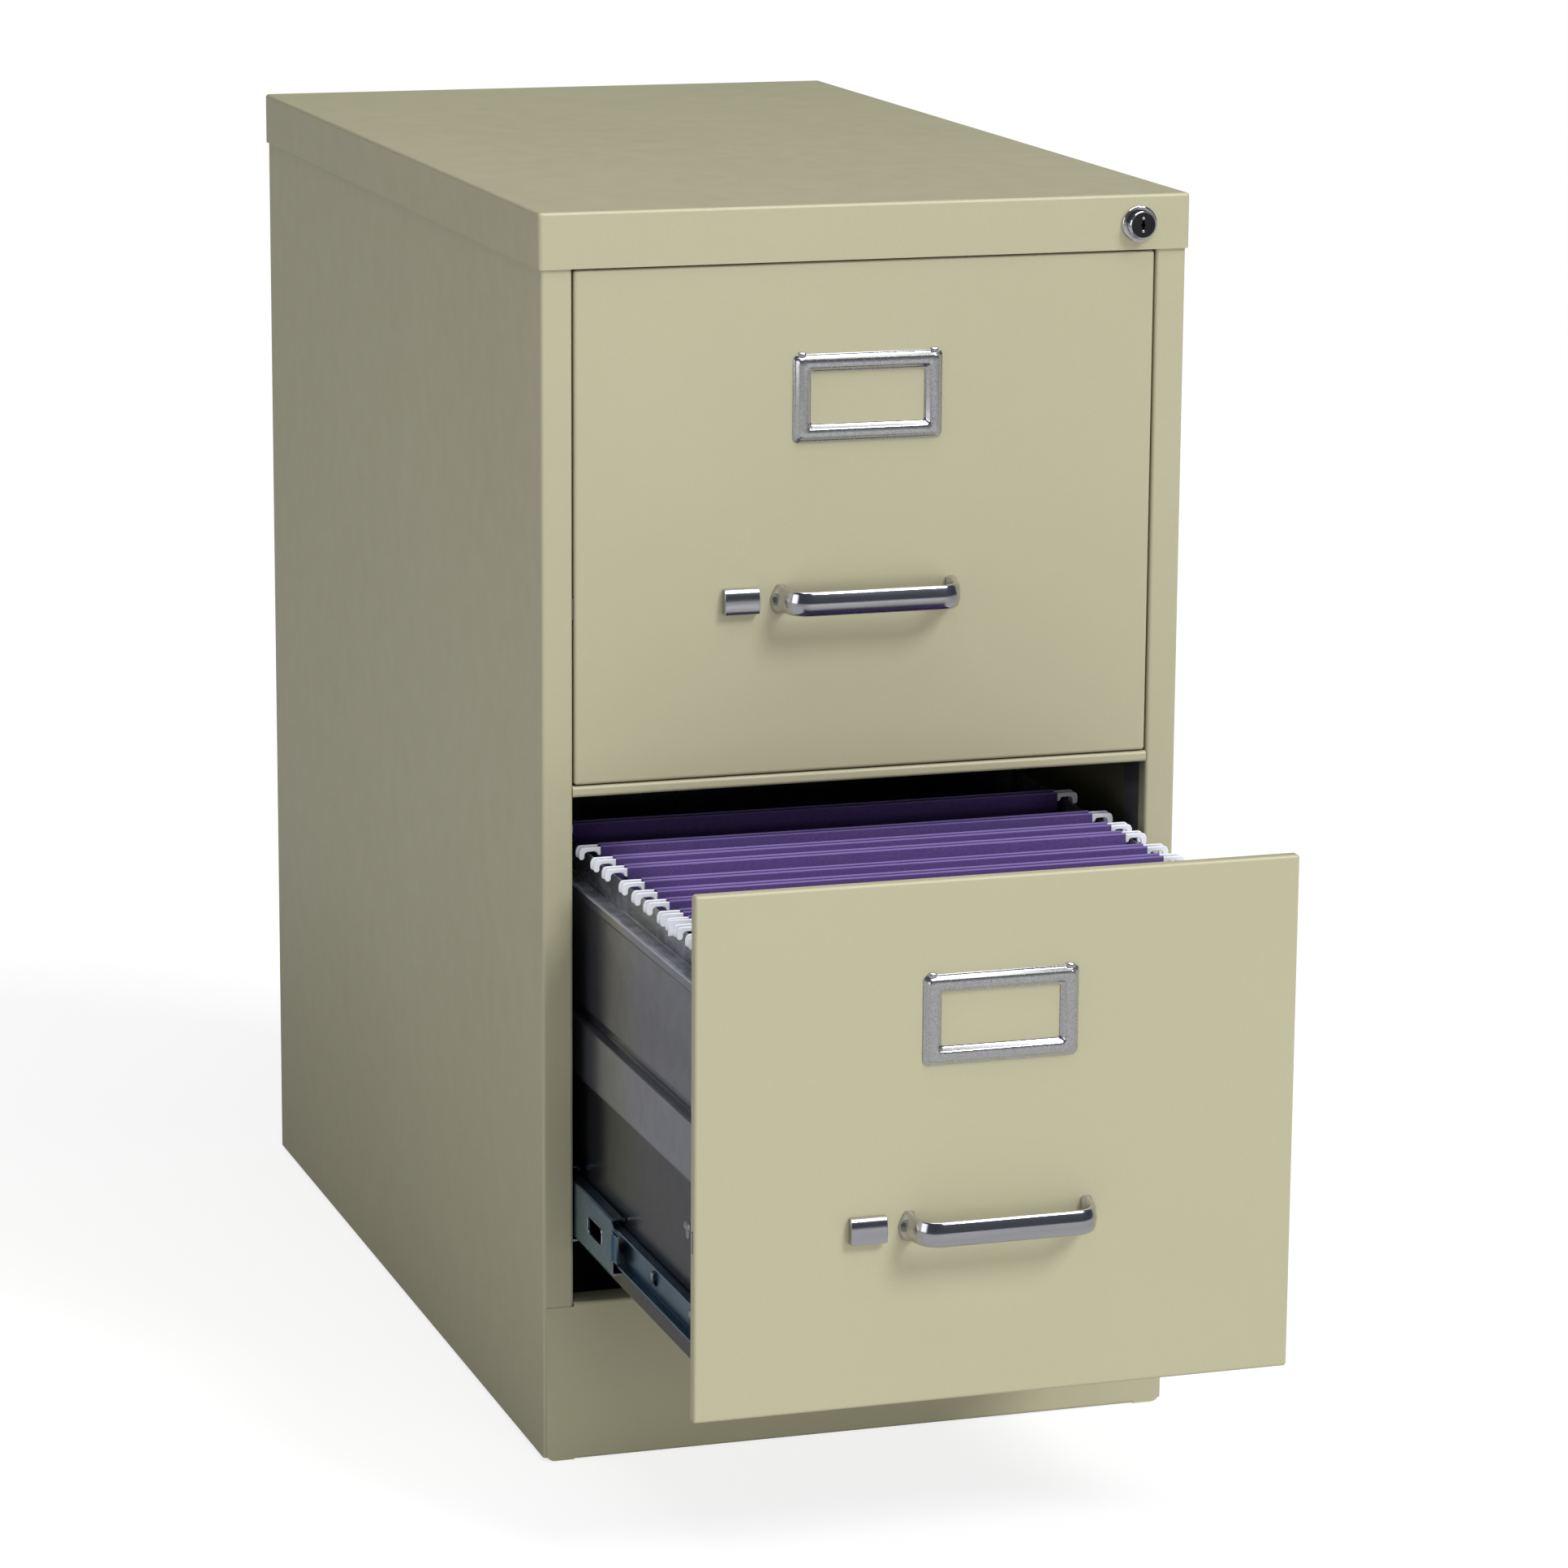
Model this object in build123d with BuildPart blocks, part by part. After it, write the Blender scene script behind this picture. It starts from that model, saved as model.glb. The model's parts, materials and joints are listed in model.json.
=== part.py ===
from build123d import *
import os

# A two-drawer vertical filing cabinet for letter-size hanging folders, in millimetres.
# The front faces -Y, +X is to the right and +Z is up. It is stored as it stands in use,
# with the upper drawer shut and the lower drawer pulled part of the way out.

os.makedirs("parts", exist_ok=True)

# Case
case_width = 381.0
case_depth = 673.0
case_height = 720.7
case_sheet = 0.9
case_bend = 2.0
cap_overhang = 1.5
cap_skirt = 31.5
cap_corner = 2.5
cap_edge = 2.0
stile_width = 18.0
stile_return = 10.0
rear_flange = 16.0
floor_flange = 20.0
side_lift = 2.0
side_seat = 0.6
back_inset = 2.5
back_field_side = 45.5
back_field_end = 53.9
back_field_gap = 70.0
back_field_corner = 14.0
back_field_depth = 3.0
back_field_slope = 40.0

# Kick plate and rails
kick_sheet = 0.8
kick_inset = 1.5
kick_corner = 5.0
kick_step = 2.2
kick_height = 94.2
kick_gap = 3.2
kick_shelf = 18.0
kick_foot = 14.0
rail_height = 6.4
rail_depth = 25.0
rail_gap_below = 2.7
rail_gap_above = 0.8
top_rail_rise = 1.0
base_rail_height = 40.0
base_rail_depth = 25.0
base_rail_gap = 0.3

# Posts that carry the slides
post_sheet = 1.2
post_near_gap = 0.4
post_span = 31.6
post_foot = 11.0
post_lip = 8.0
post_top_drop = 8.0
rear_post_inset = 38.0

# Levelling glides
glide_inset_y = 82.0
glide_inset_x = 33.5
glide_bracket_width = 44.0
glide_bracket_length = 38.0
glide_bracket_sheet = 1.5
glide_foot_diameter = 24.0
glide_foot_height = 2.0
glide_stem_diameter = 8.0
glide_stem_length = 26.0
glide_nut_flats = 13.0
glide_nut_height = 6.5
glide_clearance = 0.15

# Drawers
drawer_open = 232.0
front_side_gap = 1.0
front_depth = 6.0
front_sheet = 0.9
front_edge = 1.8
cap_gap = 0.8
inner_sheet = 0.8
inner_fit = 0.3
body_inset = 9.5
body_end_gap = 55.0
body_sheet = 0.8
body_bend = 1.0
body_rise = 24.6
body_flange = 14.0
band_low = 125.0
band_high = 159.4
band_proud = 2.0
groove_high = 168.1
groove_depth = 3.0
jog = 1.2
hem_drop = 53.7
hem_height = 7.5
hem_proud = 1.0
hanger_inset = 7.4
hanger_drop = 37.0
back_flange = 10.0

# Slides, a three-member ball-bearing pair for each drawer
slide_rise = 52.0
slide_thickness = 12.7
slide_sheet = 1.2
slide_bend = 1.8
outer_depth = 10.4
outer_half = 22.5
outer_lip = 3.0
outer_setback = 12.0
outer_end_gap = 51.0
middle_web = 3.8
middle_mouth = 12.0
middle_half = 16.7
middle_lip = 2.3
middle_setback = 41.0
middle_slot_length = 28.0
middle_slot_height = 10.0
middle_slot_setback = 33.0
middle_stop_height = 15.8
middle_stop_seat = 4.0
middle_stop_reach = 6.5
inner_mouth = 6.6
inner_half = 10.9
moving_member_less = 24.0
ball_diameter = 4.0
ball_count = 4
ball_pitch = 48.0
ball_hole_clearance = 0.2
cage_sheet = 0.6
cage_bend = 0.9
outer_cage_web = 2.2
outer_cage_mouth = 8.6
outer_ball_x = 6.0
inner_cage_web = 5.3
inner_cage_mouth = 10.4
inner_ball_x = 8.5
cage_setback = 200.0

# Handle, a bowed strap held by two screws from behind
handle_rise = 100.5
handle_span = 103.0
handle_reach = 24.0
handle_height = 14.0
handle_thickness = 4.6
handle_edge = 1.6
handle_corner = 11.0
handle_lean = 4.0
handle_foot_width = 11.0
handle_foot_height = 17.0
handle_foot_depth = 4.0
handle_foot_slope = 10.0
screw_diameter = 3.5
screw_head_diameter = 8.0
screw_head_height = 2.2
screw_length = 6.0
screw_clearance = 0.1

# Label holder
holder_width = 88.3
holder_height = 50.0
holder_drop = 76.5
holder_base = 0.8
holder_proud = 3.5
holder_brim = 1.0
holder_ring = 5.0
holder_slope = 40.0
holder_corner = 3.0
holder_ear_width = 4.0
holder_ear_height = 1.5

# Thumb latch
latch_x = -74.6
latch_width = 20.5
latch_height = 14.6
latch_thickness = 5.0
latch_crown = 1.6
latch_travel = 6.0
latch_stem = 6.0
latch_bar_height = 12.0
latch_bar_sheet = 1.5
latch_bar_depth = 2.2
latch_bar_past = 8.6
latch_clearance = 0.3
strike_clearance = 0.5
latch_tab_height = 4.6
latch_tab_width = 1.2
latch_spring_length = 20.0
latch_spring_diameter = 3.6
latch_spring_wire = 0.5
latch_spring_turns = 9

# Lock
lock_inset = 29.5
lock_drop = 16.7
bezel_diameter = 21.0
bezel_thickness = 2.2
barrel_diameter = 19.0
barrel_length = 26.0
barrel_clearance = 0.2
lock_nut_flats = 22.0
lock_nut_sides = 8
lock_nut_thickness = 3.0
plunger_diameter = 15.8
plunger_proud = 7.0
plunger_length = 36.0
plunger_clearance = 0.2
lock_travel = 6.5
nose_radius = 4.0
nose_length = 8.0
plug_diameter = 10.4
plug_length = 20.0
keyway_width = 1.3
keyway_height = 6.4
keyway_depth = 9.0
cam_gap = 0.3
cam_width = 10.0
cam_before = 5.0
cam_after = 7.0
cam_base = 2.0
lock_bar_inset = 10.5
lock_bar_sheet = 1.6
lock_bar_width = 14.0
lock_bar_setback = 20.0
lock_bar_foot_rise = 71.0
lock_foot_length = 9.0
lock_foot_width = 10.0
lock_tab_height = 12.0
lock_tab_width = 8.0
lock_tab_gap = 0.2
catch_gap = 0.4
catch_sheet = 1.5
catch_height = 10.0
catch_foot = 14.0
guide_sheet = 1.5
guide_width = 22.0
guide_clearance = 0.4
guide_rise = 142.5
lock_spring_length = 25.0
lock_spring_diameter = 8.5
lock_spring_wire = 0.9
lock_spring_turns = 7

# Hanging folders in the lower drawer, by distance behind the drawer front's face
folder_places = (25.0, 45.0, 67.0, 82.0, 98.0, 124.0, 147.0, 172.0, 206.0, 229.0, 260.0, 318.0)
folder_inset = 13.8
folder_drop = 225.0
folder_spread = 3.2
folder_paper = 0.5
folder_bend = 0.8
folder_lip = 11.0
folder_foot = 1.2
folder_seat = 0.3
hook_inset = 0.8
hook_height = 8.0
hook_thickness = 1.2
hook_notch_width = 7.7
hook_notch_shift = 0.15
hook_notch_clearance = 0.2
hook_notch_depth = 3.6

# Places worked out from the sizes above
half_case = case_width / 2
case_front = (drawer_open + handle_reach - case_depth - cap_overhang) / 2
case_back = case_front + case_depth
case_middle = case_front + case_depth / 2
case_inner = half_case - case_sheet
case_top = case_height - case_sheet
back_height = case_top - side_lift
back_field_width = case_width - 2 * back_field_side
back_field_height = back_height / 2 - back_field_end - back_field_gap / 2
cap_front = case_front - cap_overhang
cap_bottom = case_height - cap_skirt
stile_edge = half_case - stile_width
floor_top = side_lift + case_sheet
rail_space = rail_gap_above + rail_height + rail_gap_below
front_height = (cap_bottom - cap_gap - rail_space - kick_gap - kick_height) / 2
upper_front_z = cap_bottom - cap_gap - front_height
rail_top = upper_front_z - rail_gap_above
rail_bottom = rail_top - rail_height
lower_front_z = rail_bottom - rail_gap_below - front_height
kick_half = half_case - kick_inset
half_front = stile_edge - front_side_gap
body_half_width = stile_edge - body_inset
body_length = case_depth - front_depth - body_end_gap
outer_length = case_depth - outer_setback - outer_end_gap
moving_length = outer_length - moving_member_less
post_face = body_half_width + slide_thickness
post_near = case_front + stile_return + post_near_gap + post_sheet
post_far = post_near + post_span
post_top = cap_bottom - post_top_drop
rear_post_far = case_back - rear_post_inset
rear_post_near = rear_post_far - post_span
hem_high = front_height - hem_drop
hem_low = hem_high - hem_height
hanger_high = front_height - hanger_drop
lock_tab_rise = (groove_high + hem_low) / 2 + lock_travel
latch_bar_end = latch_x + latch_bar_past
lock_x = half_case - lock_inset
lock_z = case_height - lock_drop
lock_bar_x = half_case - lock_bar_inset
lock_bar_low = lower_front_z + lock_bar_foot_rise
lock_bar_near = case_front + lock_bar_setback
nose_y = cap_front - plunger_proud + plunger_length + nose_length - nose_radius
guide_far = half_case - case_sheet


def upright(y):
    """Plane that faces the front at depth y, with X to its right and Z up."""
    return Plane(origin=(0, y, 0), x_dir=(1, 0, 0), z_dir=(0, -1, 0))


def folded_sheet(plane, points, thickness, bend, side=Side.RIGHT):
    """Section of a sheet that is folded along a line of points."""
    with BuildSketch(plane) as section:
        with BuildLine():
            FilletPolyline(*points, radius=bend)
            offset(amount=thickness, side=side)
        make_face()
    return section.sketch


def slide_channel(y, z, web, mouth, half_height, sheet, bend, lip=0):
    """Section of a slide member on the left: x is the distance from the post's face."""
    web_x = web - post_face
    mouth_x = mouth - post_face
    points = [(mouth_x, z + half_height), (web_x, z + half_height)]
    points += [(web_x, z - half_height), (mouth_x, z - half_height)]
    if lip:
        points = [(mouth_x, z + half_height - lip)] + points + [(mouth_x, z - half_height + lip)]
    side = Side.LEFT if mouth > web else Side.RIGHT
    return folded_sheet(upright(y), points, sheet, bend, side)


def post_section(near, far):
    """Section of a left post: a hat that stands on the side panel, open behind the stile."""
    web = -post_face - post_sheet
    points = [(-case_inner, far + post_foot), (-case_inner, far), (web, far)]
    points += [(web, near), (web - post_lip, near)]
    return folded_sheet(Plane.XY.offset(floor_top), points, post_sheet, case_bend, Side.LEFT)


# Top cap: a shallow pan turned over the case, with a hole for the lock in its front skirt
with BuildPart() as top_cap:
    with BuildSketch(Plane.XY.offset(cap_bottom)):
        with Locations((0, case_middle)):
            RectangleRounded(case_width + 2 * cap_overhang, case_depth + 2 * cap_overhang, cap_corner)
    extrude(amount=cap_skirt)
    fillet(top_cap.faces().sort_by(Axis.Z)[-1].edges(), radius=cap_edge)
    offset(amount=-case_sheet, openings=top_cap.faces().sort_by(Axis.Z)[0])
    with BuildSketch(upright(cap_front)):
        with Locations((lock_x, lock_z)):
            Circle(barrel_diameter / 2 + barrel_clearance)
    extrude(amount=-2 * case_sheet, mode=Mode.SUBTRACT)
top_cap.part.label = "top_cap"
export_step(top_cap.part, "parts/top_cap.step")

# Side panels: each turns in at the front as a stile, at the back as a flange and at the floor
with BuildPart() as side_shell:
    stile_path = [(-stile_edge, case_front + stile_return), (-stile_edge, case_front)]
    stile_path += [(-half_case, case_front), (-half_case, case_back)]
    stile_path += [(-half_case + rear_flange, case_back)]
    extrude(
        folded_sheet(Plane.XY.offset(side_lift), stile_path, case_sheet, case_bend),
        amount=case_top - side_seat - side_lift,
    )
    with BuildSketch(Plane.XY.offset(side_lift)):
        with Locations((-half_case + floor_flange / 2, case_middle)):
            Rectangle(floor_flange, case_depth - 2 * (stile_return + rear_flange))
    extrude(amount=case_sheet)

with BuildPart() as side_panel_left:
    add(side_shell.part)
    for drawer_z in (upper_front_z, lower_front_z):
        with BuildSketch(Plane.YZ.offset(-half_case + stile_width / 2)):
            with Locations((case_front + latch_bar_depth + latch_bar_sheet / 2, drawer_z + handle_rise)):
                Rectangle(latch_bar_sheet + 2 * latch_clearance, latch_bar_height + 2 * latch_clearance)
        extrude(amount=stile_width, mode=Mode.SUBTRACT)
side_panel_left.part.label = "side_panel_left"
export_step(side_panel_left.part, "parts/side_panel_left.step")

with BuildPart() as side_panel_right:
    mirror(side_shell.part, about=Plane.YZ)
side_panel_right.part.label = "side_panel_right"
export_step(side_panel_right.part, "parts/side_panel_right.step")

# Back panel: stands inside the side panels' rear flanges, pressed in twice to stiffen it
with BuildPart() as back_panel:
    back_centre = side_lift + back_height / 2
    with BuildSketch(upright(case_back - case_sheet)):
        with Locations((0, back_centre)):
            Rectangle(case_width - 2 * back_inset, back_height)
    extrude(amount=case_sheet)
    field_pitch = back_field_height + back_field_gap
    field_places = [(0, back_centre - field_pitch / 2), (0, back_centre + field_pitch / 2)]
    with BuildSketch(upright(case_back - 2 * case_sheet)):
        with Locations(field_places):
            RectangleRounded(back_field_width, back_field_height, back_field_corner)
    extrude(amount=back_field_depth, taper=back_field_slope)
    with BuildSketch(upright(case_back - case_sheet)):
        with Locations(field_places):
            RectangleRounded(back_field_width, back_field_height, back_field_corner)
    extrude(amount=back_field_depth, taper=back_field_slope, mode=Mode.SUBTRACT)
back_panel.part.label = "back_panel"
export_step(back_panel.part, "parts/back_panel.step")

# Kick plate: laps over both stiles, and turns back under the lower drawer and at the floor
with BuildPart() as kick_plate:
    kick_face = case_front - kick_sheet
    kick_path = [(case_front + kick_foot, 0), (kick_face, 0)]
    kick_path += [(kick_face, kick_height), (case_front + kick_shelf, kick_height)]
    extrude(
        folded_sheet(Plane.YZ.offset(-stile_edge), kick_path, kick_sheet, case_bend),
        amount=2 * stile_edge,
    )
    ear_width = kick_half - stile_edge
    ear_height = kick_height - kick_step
    with BuildSketch(upright(case_front)) as ears:
        ear_x = stile_edge + ear_width / 2
        with Locations((-ear_x, ear_height / 2), (ear_x, ear_height / 2)):
            Rectangle(ear_width, ear_height)
        outer_ends = ears.vertices().group_by(Axis.X)
        low_ends = outer_ends[0].sort_by(Axis.Y)[:1] + outer_ends[-1].sort_by(Axis.Y)[:1]
        fillet(low_ends, radius=kick_corner)
    extrude(amount=kick_sheet)
kick_plate.part.label = "kick_plate"
export_step(kick_plate.part, "parts/kick_plate.step")

# Rails between the stiles
with BuildPart() as mid_rail:
    mid_path = [(case_front + rail_depth, rail_bottom), (case_front, rail_bottom)]
    mid_path += [(case_front, rail_top), (case_front + rail_depth, rail_top)]
    extrude(
        folded_sheet(Plane.YZ.offset(-stile_edge), mid_path, case_sheet, case_bend),
        amount=2 * stile_edge,
    )
mid_rail.part.label = "mid_rail"
export_step(mid_rail.part, "parts/mid_rail.step")

with BuildPart() as top_rail:
    top_rail_low = cap_bottom + top_rail_rise
    top_path = [(case_front + rail_depth, top_rail_low), (case_front, top_rail_low)]
    top_path += [(case_front, case_top), (case_front + rail_depth, case_top)]
    extrude(
        folded_sheet(Plane.YZ.offset(-stile_edge), top_path, case_sheet, case_bend),
        amount=2 * stile_edge,
    )
    with BuildSketch(upright(case_front)):
        with Locations((lock_x, lock_z)):
            Circle(barrel_diameter / 2 + barrel_clearance)
    extrude(amount=-2 * case_sheet, mode=Mode.SUBTRACT)
top_rail.part.label = "top_rail"
export_step(top_rail.part, "parts/top_rail.step")

with BuildPart() as base_rear_rail:
    back_face = case_back - 2 * case_sheet
    base_rail_half = case_inner - base_rail_gap
    base_path = [(back_face, floor_top + base_rail_height), (back_face, floor_top)]
    base_path += [(back_face - base_rail_depth, floor_top)]
    extrude(
        folded_sheet(Plane.YZ.offset(-base_rail_half), base_path, post_sheet, case_bend),
        amount=2 * base_rail_half,
    )
base_rear_rail.part.label = "base_rear_rail"
export_step(base_rear_rail.part, "parts/base_rear_rail.step")

# Posts behind the stiles and near the back, which the slides hang on
with BuildPart() as front_post_left:
    extrude(post_section(post_near, post_far), amount=post_top - floor_top)
front_post_left.part.label = "front_post_left"
export_step(front_post_left.part, "parts/front_post_left.step")

with BuildPart() as front_post_right:
    mirror(front_post_left.part, about=Plane.YZ)
    for drawer_z in (upper_front_z, lower_front_z):
        slot_height = lock_tab_height + lock_travel + 2 * guide_clearance
        slot_z = drawer_z + lock_tab_rise - lock_travel / 2
        with BuildSketch(Plane.YZ.offset(post_face - post_sheet)):
            with Locations((lock_bar_near + lock_bar_width / 2, slot_z)):
                Rectangle(lock_tab_width + 2 * guide_clearance, slot_height)
        extrude(amount=3 * post_sheet, mode=Mode.SUBTRACT)
front_post_right.part.label = "front_post_right"
export_step(front_post_right.part, "parts/front_post_right.step")

with BuildPart() as rear_post_left:
    extrude(post_section(rear_post_near, rear_post_far), amount=post_top - floor_top)
rear_post_left.part.label = "rear_post_left"
export_step(rear_post_left.part, "parts/rear_post_left.step")

with BuildPart() as rear_post_right:
    mirror(rear_post_left.part, about=Plane.YZ)
rear_post_right.part.label = "rear_post_right"
export_step(rear_post_right.part, "parts/rear_post_right.step")

# Levelling glides: a foot on a screw, through a nut on a bracket, near each corner
glide_places = [
    (side * (half_case - glide_inset_x), y)
    for side in (-1, 1)
    for y in (case_front + glide_inset_y, case_back - glide_inset_y - post_foot)
]
bracket_top = floor_top + glide_bracket_sheet

with BuildPart() as glide_brackets:
    with BuildSketch(Plane.XY.offset(floor_top)):
        for glide_x, glide_y in glide_places:
            side = 1 if glide_x > 0 else -1
            with Locations((side * (case_inner - glide_bracket_width / 2), glide_y)):
                Rectangle(glide_bracket_width, glide_bracket_length)
        with Locations(glide_places):
            Circle(glide_stem_diameter / 2 + glide_clearance, mode=Mode.SUBTRACT)
    extrude(amount=glide_bracket_sheet)
glide_brackets.part.label = "glide_brackets"
export_step(glide_brackets.part, "parts/glide_brackets.step")

with BuildPart() as glide_nuts:
    with BuildSketch(Plane.XY.offset(bracket_top)):
        with Locations(glide_places):
            RegularPolygon(glide_nut_flats / 2, 6, major_radius=False)
            Circle(glide_stem_diameter / 2 + glide_clearance, mode=Mode.SUBTRACT)
    extrude(amount=glide_nut_height)
glide_nuts.part.label = "glide_nuts"
export_step(glide_nuts.part, "parts/glide_nuts.step")

with BuildPart() as leveling_glides:
    with BuildSketch():
        with Locations(glide_places):
            Circle(glide_foot_diameter / 2)
    extrude(amount=glide_foot_height)
    with BuildSketch(Plane.XY.offset(glide_foot_height)):
        with Locations(glide_places):
            Circle(glide_stem_diameter / 2)
    extrude(amount=glide_stem_length)
leveling_glides.part.label = "leveling_glides"
export_step(leveling_glides.part, "parts/leveling_glides.step")

# Lock: a sprung plunger in a threaded barrel, with a key plug inside it
with BuildPart() as lock_housing:
    with BuildSketch(upright(cap_front)):
        with Locations((lock_x, lock_z)):
            Circle(bezel_diameter / 2)
    extrude(amount=bezel_thickness)
    fillet(lock_housing.edges().sort_by(Axis.Y)[0], radius=bezel_thickness / 2)
    with BuildSketch(upright(cap_front)):
        with Locations((lock_x, lock_z)):
            Circle(barrel_diameter / 2)
    extrude(amount=-barrel_length)
    with BuildSketch(upright(cap_front - bezel_thickness)):
        with Locations((lock_x, lock_z)):
            Circle(plunger_diameter / 2 + plunger_clearance)
    extrude(amount=-barrel_length - bezel_thickness, mode=Mode.SUBTRACT)
lock_housing.part.label = "lock_housing"
export_step(lock_housing.part, "parts/lock_housing.step")

with BuildPart() as lock_nut:
    with BuildSketch(upright(case_front + case_sheet)):
        with Locations((lock_x, lock_z)):
            half_turn = 180 / lock_nut_sides
            RegularPolygon(lock_nut_flats / 2, lock_nut_sides, major_radius=False, rotation=half_turn)
            Circle(barrel_diameter / 2 + barrel_clearance / 2, mode=Mode.SUBTRACT)
    extrude(amount=-lock_nut_thickness)
lock_nut.part.label = "lock_nut"
export_step(lock_nut.part, "parts/lock_nut.step")

plunger_face = cap_front - plunger_proud
with BuildPart() as lock_plunger:
    with BuildSketch(upright(plunger_face)):
        with Locations((lock_x, lock_z)):
            Circle(plunger_diameter / 2)
    extrude(amount=-plunger_length)
    chamfer(lock_plunger.edges().sort_by(Axis.Y)[0], length=plunger_clearance * 2)
    with BuildSketch(upright(plunger_face + plunger_length)):
        with Locations((lock_x, lock_z)):
            Circle(nose_radius)
    extrude(amount=-nose_length + nose_radius)
    with Locations((lock_x, nose_y, lock_z)):
        Sphere(nose_radius)
    with BuildSketch(upright(plunger_face)):
        with Locations((lock_x, lock_z)):
            Circle(plug_diameter / 2 + plunger_clearance)
    extrude(amount=-plug_length - plunger_clearance, mode=Mode.SUBTRACT)
lock_plunger.part.label = "lock_plunger"
export_step(lock_plunger.part, "parts/lock_plunger.step")

with BuildPart() as lock_plug:
    with BuildSketch(upright(plunger_face + plunger_clearance)):
        with Locations((lock_x, lock_z)):
            Circle(plug_diameter / 2)
    extrude(amount=-plug_length + plunger_clearance)
    with BuildSketch(upright(plunger_face)):
        with Locations((lock_x, lock_z)):
            Rectangle(keyway_width, keyway_height)
            Circle(keyway_width)
    extrude(amount=-keyway_depth, mode=Mode.SUBTRACT)
lock_plug.part.label = "lock_plug"
export_step(lock_plug.part, "parts/lock_plug.step")

# Lock bar: a cam that the plunger's nose pushes down, a strap behind the right stile,
# a tab for each drawer and a foot on the return spring
lock_bar_middle = lock_bar_near + lock_bar_width / 2
cam_reach = (nose_radius + cam_gap) / 2**0.5
cam_y = nose_y + cam_reach
cam_z = lock_z - cam_reach
cam_low = cam_z - cam_before
cam_far = cam_y + cam_after
arm_near = cam_y - cam_before
arm_low = cam_low - cam_base
with BuildPart() as lock_bar:
    with BuildSketch(Plane.YZ.offset(lock_x - cam_width / 2)):
        with BuildLine():
            Polyline(
                (arm_near, arm_low),
                (arm_near, cam_low),
                (cam_far, cam_z + cam_after),
                (cam_far + cam_base, cam_z + cam_after),
                (cam_far + cam_base, arm_low),
                close=True,
            )
        make_face()
    extrude(amount=cam_width)
    arm_length = lock_bar_x + lock_bar_sheet - lock_x
    with BuildSketch(Plane.XY.offset(arm_low)):
        with Locations((lock_x + arm_length / 2, (arm_near + cam_far + cam_base) / 2)):
            Rectangle(arm_length, cam_far + cam_base - arm_near)
    extrude(amount=cam_base)
    with BuildSketch(Plane.XY.offset(lock_bar_low)):
        with Locations((lock_bar_x + lock_bar_sheet / 2, lock_bar_middle)):
            Rectangle(lock_bar_sheet, lock_bar_width)
    extrude(amount=arm_low + cam_base - lock_bar_low)
    tab_end = stile_edge + lock_tab_gap
    for drawer_z in (upper_front_z, lower_front_z):
        with BuildSketch(Plane.XY.offset(drawer_z + lock_tab_rise - lock_tab_height / 2)):
            with Locations(((tab_end + lock_bar_x) / 2, lock_bar_middle)):
                Rectangle(lock_bar_x - tab_end, lock_tab_width)
        extrude(amount=lock_tab_height)
    with BuildSketch(Plane.XY.offset(lock_bar_low)):
        with Locations((lock_bar_x + lock_bar_sheet + lock_foot_length / 2 - cam_base, lock_bar_middle)):
            Rectangle(lock_foot_length, lock_foot_width)
    extrude(amount=lock_bar_sheet)
lock_bar.part.label = "lock_bar"
export_step(lock_bar.part, "parts/lock_bar.step")

spring_x = (post_face + post_sheet + case_inner) / 2
seat_z = lock_bar_low - lock_spring_length - guide_sheet
with BuildPart() as lock_bar_guides:
    guide_near = post_face + post_sheet + guide_clearance
    guide_centre = ((guide_near + guide_far) / 2, lock_bar_middle)
    for guide_z in (upper_front_z + guide_rise, lower_front_z + guide_rise, seat_z):
        with BuildSketch(Plane.XY.offset(guide_z)):
            with Locations(guide_centre):
                Rectangle(guide_far - guide_near, guide_width)
            if guide_z != seat_z:
                with Locations((lock_bar_x + lock_bar_sheet / 2, lock_bar_middle)):
                    Rectangle(
                        lock_bar_sheet + 2 * guide_clearance,
                        lock_bar_width + 2 * guide_clearance,
                        mode=Mode.SUBTRACT,
                    )
        extrude(amount=guide_sheet)
lock_bar_guides.part.label = "lock_bar_guides"
export_step(lock_bar_guides.part, "parts/lock_bar_guides.step")

with BuildPart() as lock_bar_spring:
    lock_coil_radius = (lock_spring_diameter - lock_spring_wire) / 2
    lock_coil_height = lock_spring_length - lock_spring_wire
    with BuildLine():
        lock_coil = Helix(
            pitch=lock_coil_height / lock_spring_turns,
            height=lock_coil_height,
            radius=lock_coil_radius,
            center=(spring_x, lock_bar_middle, seat_z + guide_sheet + lock_spring_wire / 2),
        )
    with BuildSketch(Plane(origin=lock_coil @ 0, z_dir=lock_coil % 0)):
        Circle(lock_spring_wire / 2)
    sweep()
lock_bar_spring.part.label = "lock_bar_spring"
export_step(lock_bar_spring.part, "parts/lock_bar_spring.step")

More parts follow.
